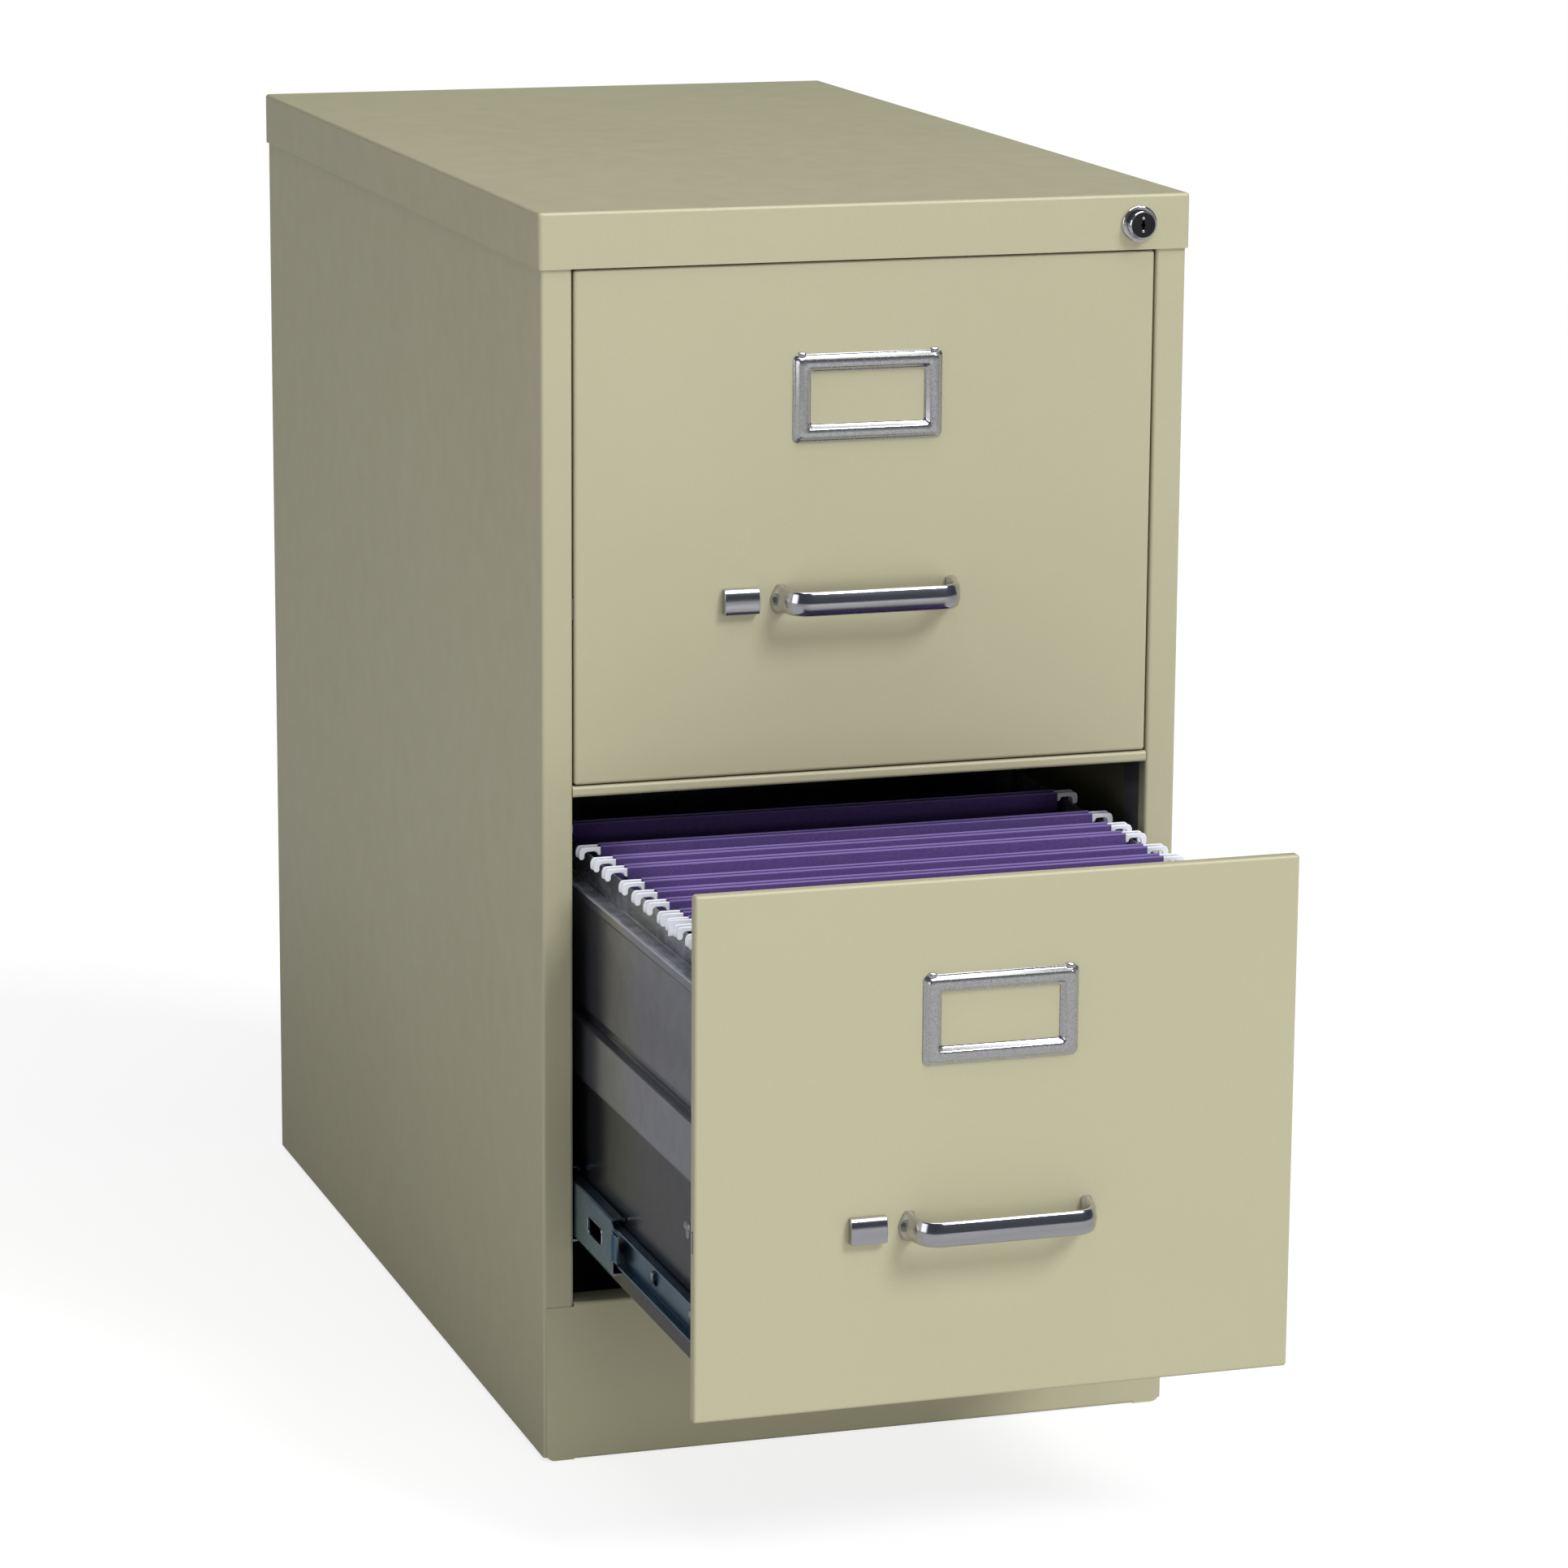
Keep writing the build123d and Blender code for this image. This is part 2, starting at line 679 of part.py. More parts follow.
# Drawers: the same parts twice, the upper one shut and the lower one pulled out
for place, front_z, pulled in (("upper", upper_front_z, 0), ("lower", lower_front_z, drawer_open)):
    face = case_front - pulled
    inner_face = face + front_depth
    body_back = inner_face + body_length
    body_low = front_z + body_rise
    handle_z = front_z + handle_rise
    foot_x = handle_span / 2
    slide_z = front_z + slide_rise
    bar_y = face + latch_bar_depth
    holder_z = front_z + front_height - holder_drop

    # Drawer front: a shallow pan with holes for the handle, the latch and its tongue
    with BuildPart() as drawer_front:
        with BuildSketch(upright(inner_face)):
            with Locations((0, front_z + front_height / 2)):
                RectangleRounded(2 * half_front, front_height, front_edge)
        extrude(amount=front_depth)
        fillet(drawer_front.faces().sort_by(Axis.Y)[0].edges(), radius=front_edge)
        offset(amount=-front_sheet, openings=drawer_front.faces().sort_by(Axis.Y)[-1])
        with BuildSketch(upright(face)):
            with Locations((-foot_x, handle_z), (foot_x, handle_z)):
                Circle(screw_diameter / 2 + screw_clearance)
            with Locations((latch_x + latch_travel / 2, handle_z)):
                Rectangle(latch_stem + latch_travel + 2 * latch_clearance, latch_stem + 2 * latch_clearance)
        extrude(amount=-front_sheet, mode=Mode.SUBTRACT)
        with BuildSketch(Plane.YZ.offset(-half_front)):
            with Locations((bar_y + latch_bar_sheet / 2, handle_z)):
                Rectangle(latch_bar_sheet + 2 * latch_clearance, latch_bar_height + 2 * latch_clearance)
        extrude(amount=front_sheet, mode=Mode.SUBTRACT)
    drawer_front.part.label = place + "_drawer_front"
    export_step(drawer_front.part, "parts/" + place + "_drawer_front.step")

    # Inner front: closes the pan, and has a tab bent in for the latch spring
    spring_z = handle_z - latch_bar_height / 2 - latch_spring_diameter / 2 - latch_clearance
    tab_x = latch_bar_end + latch_tab_width
    anchor_x = tab_x + latch_spring_length
    with BuildPart() as inner_front:
        with BuildSketch(upright(inner_face)):
            with Locations((0, front_z + front_height / 2)):
                inner_margin = front_sheet + inner_fit
                RectangleRounded(
                    2 * (half_front - inner_margin), front_height - 2 * inner_margin, front_edge
                )
        extrude(amount=inner_sheet)
        with BuildSketch(Plane.YZ.offset(anchor_x)):
            with Locations((inner_face - inner_sheet - latch_spring_diameter / 2, spring_z)):
                Rectangle(latch_spring_diameter, latch_spring_diameter)
        extrude(amount=latch_tab_width)
    inner_front.part.label = place + "_inner_front"
    export_step(inner_front.part, "parts/" + place + "_inner_front.step")

    # Drawer sides: folded in at the foot, pressed out in a band, and turned up as a hanging rail
    with BuildPart() as drawer_side_left:
        side_path = [
            (-body_half_width + body_flange, body_low),
            (-body_half_width, body_low),
            (-body_half_width, front_z + band_low),
            (-body_half_width - band_proud, front_z + band_low + jog),
            (-body_half_width - band_proud, front_z + band_high),
            (-body_half_width + groove_depth, front_z + band_high + jog),
            (-body_half_width + groove_depth, front_z + groove_high - jog),
            (-body_half_width, front_z + groove_high),
            (-body_half_width, front_z + hem_low),
            (-body_half_width - hem_proud, front_z + hem_low + jog),
            (-body_half_width - hem_proud, front_z + hem_high),
            (-body_half_width + hanger_inset, front_z + hem_high),
            (-body_half_width + hanger_inset, front_z + hanger_high),
        ]
        extrude(folded_sheet(upright(inner_face), side_path, body_sheet, body_bend), amount=-body_length)
    drawer_side_left.part.label = place + "_drawer_side_left"
    export_step(drawer_side_left.part, "parts/" + place + "_drawer_side_left.step")

    with BuildPart() as drawer_side_right:
        mirror(drawer_side_left.part, about=Plane.YZ)
    drawer_side_right.part.label = place + "_drawer_side_right"
    export_step(drawer_side_right.part, "parts/" + place + "_drawer_side_right.step")

    # Drawer bottom and back
    with BuildPart() as drawer_bottom:
        with BuildSketch(Plane.XY.offset(body_low + body_sheet)):
            with Locations((0, inner_face + body_length / 2)):
                Rectangle(2 * (body_half_width - body_sheet - inner_fit), body_length)
        extrude(amount=body_sheet)
    drawer_bottom.part.label = place + "_drawer_bottom"
    export_step(drawer_bottom.part, "parts/" + place + "_drawer_bottom.step")

    with BuildPart() as drawer_back:
        back_path = [(body_back + back_flange, front_z + hem_low), (body_back, front_z + hem_low)]
        back_path += [(body_back, body_low), (body_back + back_flange, body_low)]
        extrude(
            folded_sheet(Plane.YZ.offset(-body_half_width), back_path, body_sheet, case_bend, Side.LEFT),
            amount=2 * body_half_width,
        )
    drawer_back.part.label = place + "_drawer_back"
    export_step(drawer_back.part, "parts/" + place + "_drawer_back.step")

    # Handle: a strap with a rounded face, swept along a bow, with a pad at each foot
    with BuildPart() as handle:
        bow_half = foot_x - handle_thickness / 3
        bow_out = face - handle_reach + handle_thickness
        with BuildLine() as bow:
            FilletPolyline(
                (-bow_half, face, handle_z),
                (-bow_half + handle_lean, bow_out, handle_z),
                (bow_half - handle_lean, bow_out, handle_z),
                (bow_half, face, handle_z),
                radius=handle_corner,
            )
        with BuildSketch(Plane(origin=bow.line @ 0, x_dir=(0, 0, 1), z_dir=bow.line % 0)):
            with BuildLine():
                Polyline(
                    (-handle_height / 2, handle_edge),
                    (-handle_height / 2, 0),
                    (handle_height / 2, 0),
                    (handle_height / 2, handle_edge),
                )
                ThreePointArc(
                    (handle_height / 2, handle_edge),
                    (0, handle_thickness),
                    (-handle_height / 2, handle_edge),
                )
            make_face()
        sweep()
        with BuildSketch(upright(face)):
            with Locations((-foot_x, handle_z), (foot_x, handle_z)):
                RectangleRounded(handle_foot_width, handle_foot_height, handle_foot_width / 3)
        extrude(amount=handle_foot_depth, taper=handle_foot_slope)
        with BuildSketch(upright(face)):
            with Locations((-foot_x, handle_z), (foot_x, handle_z)):
                Circle(screw_diameter / 2 + screw_clearance)
        extrude(amount=screw_length, mode=Mode.SUBTRACT)
        split(bisect_by=upright(face), keep=Keep.TOP)
    handle.part.label = place + "_handle"
    export_step(handle.part, "parts/" + place + "_handle.step")

    with BuildPart() as handle_screws:
        with BuildSketch(upright(face + front_sheet)):
            with Locations((-foot_x, handle_z), (foot_x, handle_z)):
                Circle(screw_head_diameter / 2)
        extrude(amount=-screw_head_height)
        with BuildSketch(upright(face + front_sheet)):
            with Locations((-foot_x, handle_z), (foot_x, handle_z)):
                Circle(screw_diameter / 2)
        extrude(amount=screw_length)
    handle_screws.part.label = place + "_handle_screws"
    export_step(handle_screws.part, "parts/" + place + "_handle_screws.step")

    # Label holder: a pressed frame with sloped walls, and two small ears at its open top
    with BuildPart() as label_holder:
        with BuildSketch(upright(face)):
            with Locations((0, holder_z)):
                RectangleRounded(holder_width, holder_height, holder_corner)
        extrude(amount=holder_base)
        with BuildSketch(upright(face)):
            with Locations((0, holder_z)):
                RectangleRounded(
                    holder_width - 2 * holder_brim,
                    holder_height - 2 * holder_brim,
                    holder_corner,
                )
        extrude(amount=holder_proud, taper=holder_slope)
        inner_width = holder_width - 2 * (holder_brim + holder_ring + holder_proud)
        inner_height = holder_height - 2 * (holder_brim + holder_ring + holder_proud)
        with BuildSketch(upright(face - holder_proud)):
            with Locations((0, holder_z)):
                RectangleRounded(inner_width, inner_height, holder_corner)
        extrude(amount=-holder_proud, taper=holder_slope / 2, mode=Mode.SUBTRACT)
        ear_x = holder_width / 2 - holder_ring - holder_brim
        with BuildSketch(upright(face)):
            with Locations((-ear_x, holder_z + holder_height / 2), (ear_x, holder_z + holder_height / 2)):
                Rectangle(holder_ear_width, 2 * holder_ear_height)
        extrude(amount=holder_proud / 2)
    label_holder.part.label = place + "_label_holder"
    export_step(label_holder.part, "parts/" + place + "_label_holder.step")

    # Thumb latch: a button on a stem, a bar with a tongue at the left edge, and a return spring
    with BuildPart() as latch_button:
        with BuildSketch(upright(face - latch_clearance)):
            with Locations((latch_x, handle_z)):
                Rectangle(latch_width, latch_height)
        extrude(amount=latch_thickness)
        crown_edges = latch_button.edges().filter_by(Axis.X).group_by(Axis.Y)[0]
        fillet(crown_edges, radius=latch_crown)
        with BuildSketch(upright(face - latch_clearance)):
            with Locations((latch_x, handle_z)):
                Rectangle(latch_stem, latch_stem)
        extrude(amount=-latch_bar_depth - latch_clearance)
    latch_button.part.label = place + "_latch_button"
    export_step(latch_button.part, "parts/" + place + "_latch_button.step")

    with BuildPart() as latch_bar:
        bar_start = -stile_edge + strike_clearance
        with BuildSketch(upright(bar_y)):
            with Locations(((bar_start + latch_bar_end) / 2, handle_z)):
                Rectangle(latch_bar_end - bar_start, latch_bar_height)
            with Locations((latch_bar_end + latch_tab_width / 2, handle_z - latch_tab_height / 2)):
                Rectangle(latch_tab_width, latch_bar_height + latch_tab_height)
        extrude(amount=-latch_bar_sheet)
    latch_bar.part.label = place + "_latch_bar"
    export_step(latch_bar.part, "parts/" + place + "_latch_bar.step")

    with BuildPart() as latch_spring:
        latch_coil_length = latch_spring_length - latch_spring_wire
        spring_start = (tab_x + latch_spring_wire / 2, bar_y + latch_bar_sheet / 2, spring_z)
        with BuildLine():
            latch_coil = Helix(
                pitch=latch_coil_length / latch_spring_turns,
                height=latch_coil_length,
                radius=(latch_spring_diameter - latch_spring_wire) / 2,
                center=spring_start,
                direction=(1, 0, 0),
            )
        with BuildSketch(Plane(origin=latch_coil @ 0, z_dir=latch_coil % 0)):
            Circle(latch_spring_wire / 2)
        sweep()
    latch_spring.part.label = place + "_latch_spring"
    export_step(latch_spring.part, "parts/" + place + "_latch_spring.step")

    # Lock catch: a bracket on the drawer's right side, behind the lock bar's tab
    with BuildPart() as lock_catch:
        catch_y = face + lock_bar_setback + (lock_bar_width + lock_tab_width) / 2 + 2 * guide_clearance
        catch_reach = stile_edge - catch_gap
        catch_z = front_z + lock_tab_rise - lock_travel
        with BuildSketch(Plane.XY.offset(catch_z - catch_height / 2)):
            with Locations((body_half_width + catch_sheet / 2, catch_y + catch_foot / 2)):
                Rectangle(catch_sheet, catch_foot)
            with Locations(((body_half_width + catch_reach) / 2, catch_y + catch_sheet / 2)):
                Rectangle(catch_reach - body_half_width, catch_sheet)
        extrude(amount=catch_height)
    lock_catch.part.label = place + "_lock_catch"
    export_step(lock_catch.part, "parts/" + place + "_lock_catch.step")

    # Slides: fixed, middle and drawer members, with two ball cages on each side.
    # The middle member goes half as far as the drawer, and the cages a quarter and three quarters.
    with BuildPart() as cabinet_slides:
        outer_y = case_front + outer_setback
        outer_section = slide_channel(
            outer_y, slide_z, 0, outer_depth, outer_half, slide_sheet, slide_bend, outer_lip
        )
        extrude(outer_section, amount=-outer_length)
        mirror(about=Plane.YZ)
    cabinet_slides.part.label = place + "_cabinet_slides"
    export_step(cabinet_slides.part, "parts/" + place + "_cabinet_slides.step")

    with BuildPart() as middle_slides:
        middle_y = case_front + middle_setback - pulled / 2
        middle_section = slide_channel(
            middle_y, slide_z, middle_web, middle_mouth, middle_half, slide_sheet, slide_bend, middle_lip
        )
        extrude(middle_section, amount=-moving_length)
        with BuildSketch(Plane.YZ.offset(middle_web - post_face - slide_sheet)):
            with Locations((middle_y + middle_slot_setback, slide_z)):
                RectangleRounded(middle_slot_length, middle_slot_height, middle_slot_height / 3)
        extrude(amount=3 * slide_sheet, mode=Mode.SUBTRACT)
        # A stop tongue on the inside of the web, past its front end
        with BuildSketch(Plane.XY.offset(slide_z - middle_stop_height / 2)):
            stop_x = middle_web + 1.5 * slide_sheet - post_face
            with Locations((stop_x, middle_y + (middle_stop_seat - middle_stop_reach) / 2)):
                Rectangle(slide_sheet, middle_stop_seat + middle_stop_reach)
        extrude(amount=middle_stop_height)
        mirror(about=Plane.YZ)
    middle_slides.part.label = place + "_middle_slides"
    export_step(middle_slides.part, "parts/" + place + "_middle_slides.step")

    with BuildPart() as drawer_slides:
        inner_section = slide_channel(
            inner_face, slide_z, slide_thickness, inner_mouth, inner_half, slide_sheet, slide_bend
        )
        extrude(inner_section, amount=-moving_length)
        mirror(about=Plane.YZ)
    drawer_slides.part.label = place + "_drawer_slides"
    export_step(drawer_slides.part, "parts/" + place + "_drawer_slides.step")

    for cage, web, mouth, ball_x, gap_low, gap_high, share in (
        ("outer", outer_cage_web, outer_cage_mouth, outer_ball_x, middle_half, outer_half, 1 / 4),
        ("inner", inner_cage_web, inner_cage_mouth, inner_ball_x, inner_half, middle_half, 3 / 4),
    ):
        ball_rise = (gap_low + gap_high - slide_sheet) / 2
        cage_y = case_front + cage_setback - pulled * share
        with BuildPart() as ball_cages:
            cage_section = slide_channel(
                cage_y, slide_z, web, mouth, ball_rise + cage_sheet / 2, cage_sheet, cage_bend
            )
            extrude(cage_section, amount=-ball_count * ball_pitch)
            ball_places = Locations(
                [
                    (ball_x - post_face, cage_y + (turn + 0.5) * ball_pitch, slide_z + side * ball_rise)
                    for side in (-1, 1)
                    for turn in range(ball_count)
                ]
            )
            with ball_places:
                Cylinder(
                    ball_diameter / 2 + ball_hole_clearance, 3 * cage_sheet, mode=Mode.SUBTRACT
                )
            with ball_places:
                Sphere(ball_diameter / 2)
            mirror(about=Plane.YZ)
        ball_cages.part.label = place + "_" + cage + "_ball_cages"
        export_step(ball_cages.part, "parts/" + place + "_" + cage + "_ball_cages.step")

# Hanging folders: card folded over two bars each, and the bars' hooked ends on the rails
lower_face = case_front - drawer_open
hanger_top = lower_front_z + hanger_high
hook_low = hanger_top + hook_notch_clearance - hook_notch_depth
folder_top = hook_low + hook_height + folder_seat + folder_paper
card_half = hook_thickness / 2 + folder_seat + folder_paper
folder_half_width = body_half_width - folder_inset
notch_x = body_half_width - hanger_inset + hook_notch_shift
with BuildPart() as hanging_folders:
    for distance in folder_places:
        middle = lower_face + distance
        front_bar = middle - folder_spread
        rear_bar = middle + folder_spread
        card_path = [
            (front_bar + card_half, folder_top - folder_lip),
            (front_bar + card_half, folder_top),
            (front_bar - card_half, folder_top),
            (middle - folder_foot, folder_top - folder_drop),
            (middle + folder_foot, folder_top - folder_drop),
            (rear_bar + card_half, folder_top),
            (rear_bar - card_half, folder_top),
            (rear_bar - card_half, folder_top - folder_lip),
        ]
        extrude(
            folded_sheet(
                Plane.YZ.offset(-folder_half_width), card_path, folder_paper, folder_bend, Side.LEFT
            ),
            amount=2 * folder_half_width,
        )
hanging_folders.part.label = "hanging_folders"
export_step(hanging_folders.part, "parts/hanging_folders.step")

with BuildPart() as folder_hook_bars:
    for distance in folder_places:
        for bar_middle in (lower_face + distance - folder_spread, lower_face + distance + folder_spread):
            with BuildSketch(upright(bar_middle + hook_thickness / 2)):
                with Locations((0, hook_low + hook_height / 2)):
                    Rectangle(2 * (body_half_width - hook_inset), hook_height)
                with Locations((-notch_x, hook_low), (notch_x, hook_low)):
                    Rectangle(hook_notch_width, 2 * hook_notch_depth, mode=Mode.SUBTRACT)
            extrude(amount=hook_thickness)
folder_hook_bars.part.label = "folder_hook_bars"
export_step(folder_hook_bars.part, "parts/folder_hook_bars.step")
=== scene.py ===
import json
import math
import random

import bmesh
import bpy
from mathutils import Matrix, Vector


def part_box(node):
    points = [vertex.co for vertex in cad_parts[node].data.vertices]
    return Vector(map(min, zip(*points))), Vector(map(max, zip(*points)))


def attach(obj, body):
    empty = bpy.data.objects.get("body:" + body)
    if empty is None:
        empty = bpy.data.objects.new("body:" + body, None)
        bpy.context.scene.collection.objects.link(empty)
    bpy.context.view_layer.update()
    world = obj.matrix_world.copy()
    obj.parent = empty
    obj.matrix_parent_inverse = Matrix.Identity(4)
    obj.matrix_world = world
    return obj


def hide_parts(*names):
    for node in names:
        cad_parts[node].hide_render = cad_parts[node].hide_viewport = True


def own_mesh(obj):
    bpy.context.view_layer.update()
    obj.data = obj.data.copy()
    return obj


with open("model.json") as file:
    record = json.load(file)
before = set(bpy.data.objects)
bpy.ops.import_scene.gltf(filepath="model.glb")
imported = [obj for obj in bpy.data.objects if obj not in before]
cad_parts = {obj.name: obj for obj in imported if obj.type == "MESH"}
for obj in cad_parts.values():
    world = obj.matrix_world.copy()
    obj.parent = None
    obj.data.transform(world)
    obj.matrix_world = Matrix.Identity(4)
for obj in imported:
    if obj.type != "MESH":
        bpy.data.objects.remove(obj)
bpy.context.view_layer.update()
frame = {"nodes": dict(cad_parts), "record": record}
nodes = frame["nodes"]
record = frame["record"]
MM = 0.001
PLACES = ("upper", "lower")
EVEN = (1, 1, 1)
WHITE = (1.0, 1.0, 1.0)
random.seed(7)


# Shader nodes
def new_material(name, base, metallic, roughness):
    """Material with a Principled shader, its node tree and that shader."""
    material = bpy.data.materials.new(name)
    material.use_nodes = True
    tree = material.node_tree
    shader = tree.nodes["Principled BSDF"]
    shader.inputs["Base Color"].default_value = (*base, 1)
    shader.inputs["Metallic"].default_value = metallic
    shader.inputs["Roughness"].default_value = roughness
    return material, tree, shader


def feed(tree, socket, value):
    """Give a socket a colour, a number or another node's output."""
    if isinstance(value, tuple):
        socket.default_value = (*value, 1)
    elif isinstance(value, float):
        socket.default_value = value
    else:
        tree.links.new(value, socket)


def object_coordinates(tree, stretch=EVEN):
    """Object coordinates in metres, stretched along each axis."""
    coordinates = tree.nodes.new("ShaderNodeTexCoord")
    mapping = tree.nodes.new("ShaderNodeMapping")
    mapping.inputs["Scale"].default_value = stretch
    tree.links.new(coordinates.outputs["Object"], mapping.inputs["Vector"])
    return mapping.outputs["Vector"]


def axes(tree, vector):
    """The X, Y and Z of a vector."""
    node = tree.nodes.new("ShaderNodeSeparateXYZ")
    tree.links.new(vector, node.inputs["Vector"])
    return node.outputs


def noise(tree, scale, detail, stretch=EVEN):
    """Noise whose features are about 1/scale metres wide."""
    texture = tree.nodes.new("ShaderNodeTexNoise")
    texture.inputs["Scale"].default_value = scale
    texture.inputs["Detail"].default_value = detail
    tree.links.new(object_coordinates(tree, stretch), texture.inputs["Vector"])
    return texture.outputs["Fac"]


def remap(tree, value, low, high, out_low=0.0, out_high=1.0):
    """Value taken from low..high to out_low..out_high."""
    node = tree.nodes.new("ShaderNodeMapRange")
    node.inputs["From Min"].default_value = low
    node.inputs["From Max"].default_value = high
    node.inputs["To Min"].default_value = out_low
    node.inputs["To Max"].default_value = out_high
    tree.links.new(value, node.inputs["Value"])
    return node.outputs["Result"]


def blotches(tree, scale, detail, stretch=EVEN):
    """Noise whose usual range of 0.3 to 0.7 is widened to the whole of 0 to 1."""
    return remap(tree, noise(tree, scale, detail, stretch), 0.3, 0.7)


def between(tree, share, low, high):
    """Low where the share is 0, and high where it is 1."""
    return remap(tree, share, 0, 1, low, high)


def calculate(tree, operation, first, second):
    """Result of one sum on two values."""
    node = tree.nodes.new("ShaderNodeMath")
    node.operation = operation
    for socket, value in zip(node.inputs, (first, second)):
        feed(tree, socket, value)
    return node.outputs["Value"]


def mix_colours(tree, factor, first, second, kind="MIX"):
    """Mix of two colours by a factor."""
    mix = tree.nodes.new("ShaderNodeMix")
    mix.data_type = "RGBA"
    mix.blend_type = kind
    for socket, value in (("Factor", factor), ("A", first), ("B", second)):
        feed(tree, mix.inputs[socket], value)
    return mix.outputs["Result"]


def ray_kind(tree, kind):
    """One where the ray is of this kind, and zero elsewhere."""
    return tree.nodes.new("ShaderNodeLightPath").outputs[kind]


def height_above(tree, level):
    """Height above a level, in metres."""
    return calculate(tree, "SUBTRACT", axes(tree, object_coordinates(tree))["Z"], level)


def bump(tree, shader, height, strength, distance):
    """Bump on the shader's normal."""
    node = tree.nodes.new("ShaderNodeBump")
    node.inputs["Strength"].default_value = strength
    node.inputs["Distance"].default_value = distance
    tree.links.new(height, node.inputs["Height"])
    tree.links.new(node.outputs["Normal"], shader.inputs["Normal"])


# Materials
def paint(name, light, dark):
    """Baked enamel: an even colour with faint clouding and a fine orange peel."""
    material, tree, shader = new_material(name, light, metallic=0.0, roughness=0.42)
    shade = mix_colours(tree, blotches(tree, scale=5.0, detail=3.0), light, dark)
    specks = remap(tree, noise(tree, scale=900.0, detail=2.0), 0.35, 0.65)
    fleck = mix_colours(tree, specks, (0.975, 0.975, 0.97), WHITE)
    feed(tree, shader.inputs["Base Color"], mix_colours(tree, 1.0, shade, fleck, "MULTIPLY"))
    gloss = remap(tree, noise(tree, scale=60.0, detail=4.0), 0.3, 0.7, 0.38, 0.46)
    feed(tree, shader.inputs["Roughness"], gloss)
    bump(tree, shader, noise(tree, scale=1100.0, detail=1.0), strength=0.08, distance=0.3 * MM)
    return material


def rolled_metal(name, light, dark, roughness, cells, streaks, metallic=1.0, spread=0.08, relief=0.05):
    """Rolled or plated sheet: mottled cells, streaks along the sheet and smudged gloss."""
    material, tree, shader = new_material(name, light, metallic, roughness)
    flakes = tree.nodes.new("ShaderNodeTexVoronoi")
    flakes.inputs["Scale"].default_value = cells
    tree.links.new(object_coordinates(tree), flakes.inputs["Vector"])
    tone = tree.nodes.new("ShaderNodeSeparateColor")
    tree.links.new(flakes.outputs["Color"], tone.inputs["Color"])
    smudges = blotches(tree, scale=14.0, detail=5.0)
    lines = blotches(tree, scale=40.0, detail=3.0, stretch=streaks)
    mottled = mix_colours(tree, between(tree, tone.outputs["Red"], 0.0, 0.5), light, dark)
    streaked = mix_colours(tree, between(tree, lines, 0.0, 0.35), mottled, dark)
    clouded = mix_colours(tree, between(tree, smudges, 0.0, 0.45), streaked, dark)
    feed(tree, shader.inputs["Base Color"], clouded)
    gloss = between(tree, smudges, roughness - spread, roughness + spread)
    feed(tree, shader.inputs["Roughness"], gloss)
    bump(tree, shader, lines, strength=relief, distance=0.2 * MM)
    return material


def bright_metal(name, light, dark, roughness, grain=EVEN, spread=0.05):
    """Polished or satin metal with a fine grain along it."""
    material, tree, shader = new_material(name, light, metallic=1.0, roughness=roughness)
    lines = blotches(tree, scale=300.0, detail=3.0, stretch=grain)
    feed(tree, shader.inputs["Base Color"], mix_colours(tree, lines, light, dark))
    gloss = between(tree, lines, roughness - spread, roughness + spread)
    feed(tree, shader.inputs["Roughness"], gloss)
    bump(tree, shader, lines, strength=0.04, distance=0.1 * MM)
    return material


def card(name, light, dark, crest_highlight, fold_height):
    """Matte coloured card with paper fibres, and a painted highlight along the tops of its folds."""
    material, tree, shader = new_material(name, light, metallic=0.0, roughness=0.75)
    fibres = blotches(tree, scale=1400.0, detail=4.0, stretch=(0.4, 1, 1))
    clouds = remap(tree, noise(tree, scale=12.0, detail=2.0), 0.3, 0.7, 0.0, 0.25)
    clouded = mix_colours(tree, clouds, mix_colours(tree, fibres, light, dark), dark)
    # Painted highlight: the card turns lighter over the top millimetre of each fold, where light from above
    # falls on it.
    fold = remap(tree, height_above(tree, fold_height), -1.1 * MM, -0.7 * MM)
    feed(tree, shader.inputs["Base Color"], mix_colours(tree, fold, clouded, crest_highlight))
    shader.inputs["Specular IOR Level"].default_value = 0.3
    feed(tree, shader.inputs["Roughness"], between(tree, fibres, 0.68, 0.84))
    bump(tree, shader, fibres, strength=0.15, distance=0.1 * MM)
    return material


def coating(name, light, dark, roughness):
    """Plastic coating, or lacquer: smooth, with faint unevenness."""
    material, tree, shader = new_material(name, light, metallic=0.0, roughness=roughness)
    clouds = blotches(tree, scale=120.0, detail=3.0)
    feed(tree, shader.inputs["Base Color"], mix_colours(tree, clouds, light, dark))
    gloss = between(tree, clouds, roughness - 0.05, roughness + 0.08)
    feed(tree, shader.inputs["Roughness"], gloss)
    bump(tree, shader, noise(tree, scale=700.0, detail=2.0), strength=0.06, distance=0.2 * MM)
    return material


# Painted light and shade on the drawer sides: heights above the foot of the drawer's front in mm, with the
# tone there. The lower wall has painted shade, the pressed band a painted highlight, the groove above it
# painted shade, and the hem painted highlight lines.
SIDE_LIGHT_AND_SHADE = (
    (0.0, 0.42), (123.6, 0.42), (128.4, 1.5), (158.4, 1.42), (162.0, 0.7), (170.4, 1.0), (229.2, 1.0),
    (230.4, 1.2), (234.72, 1.2), (235.44, 1.5), (236.16, 1.5), (236.64, 1.3), (240.0, 1.2),
)
SIDE_SPAN = SIDE_LIGHT_AND_SHADE[-1][0]
BRIGHTEST = 1.5
HEM_CREST_FROM = 234.8 * MM
HEM_CREST_FULL = 235.1 * MM
TROUGH_FROM = 236.2 * MM
TROUGH_FULL = 236.6 * MM


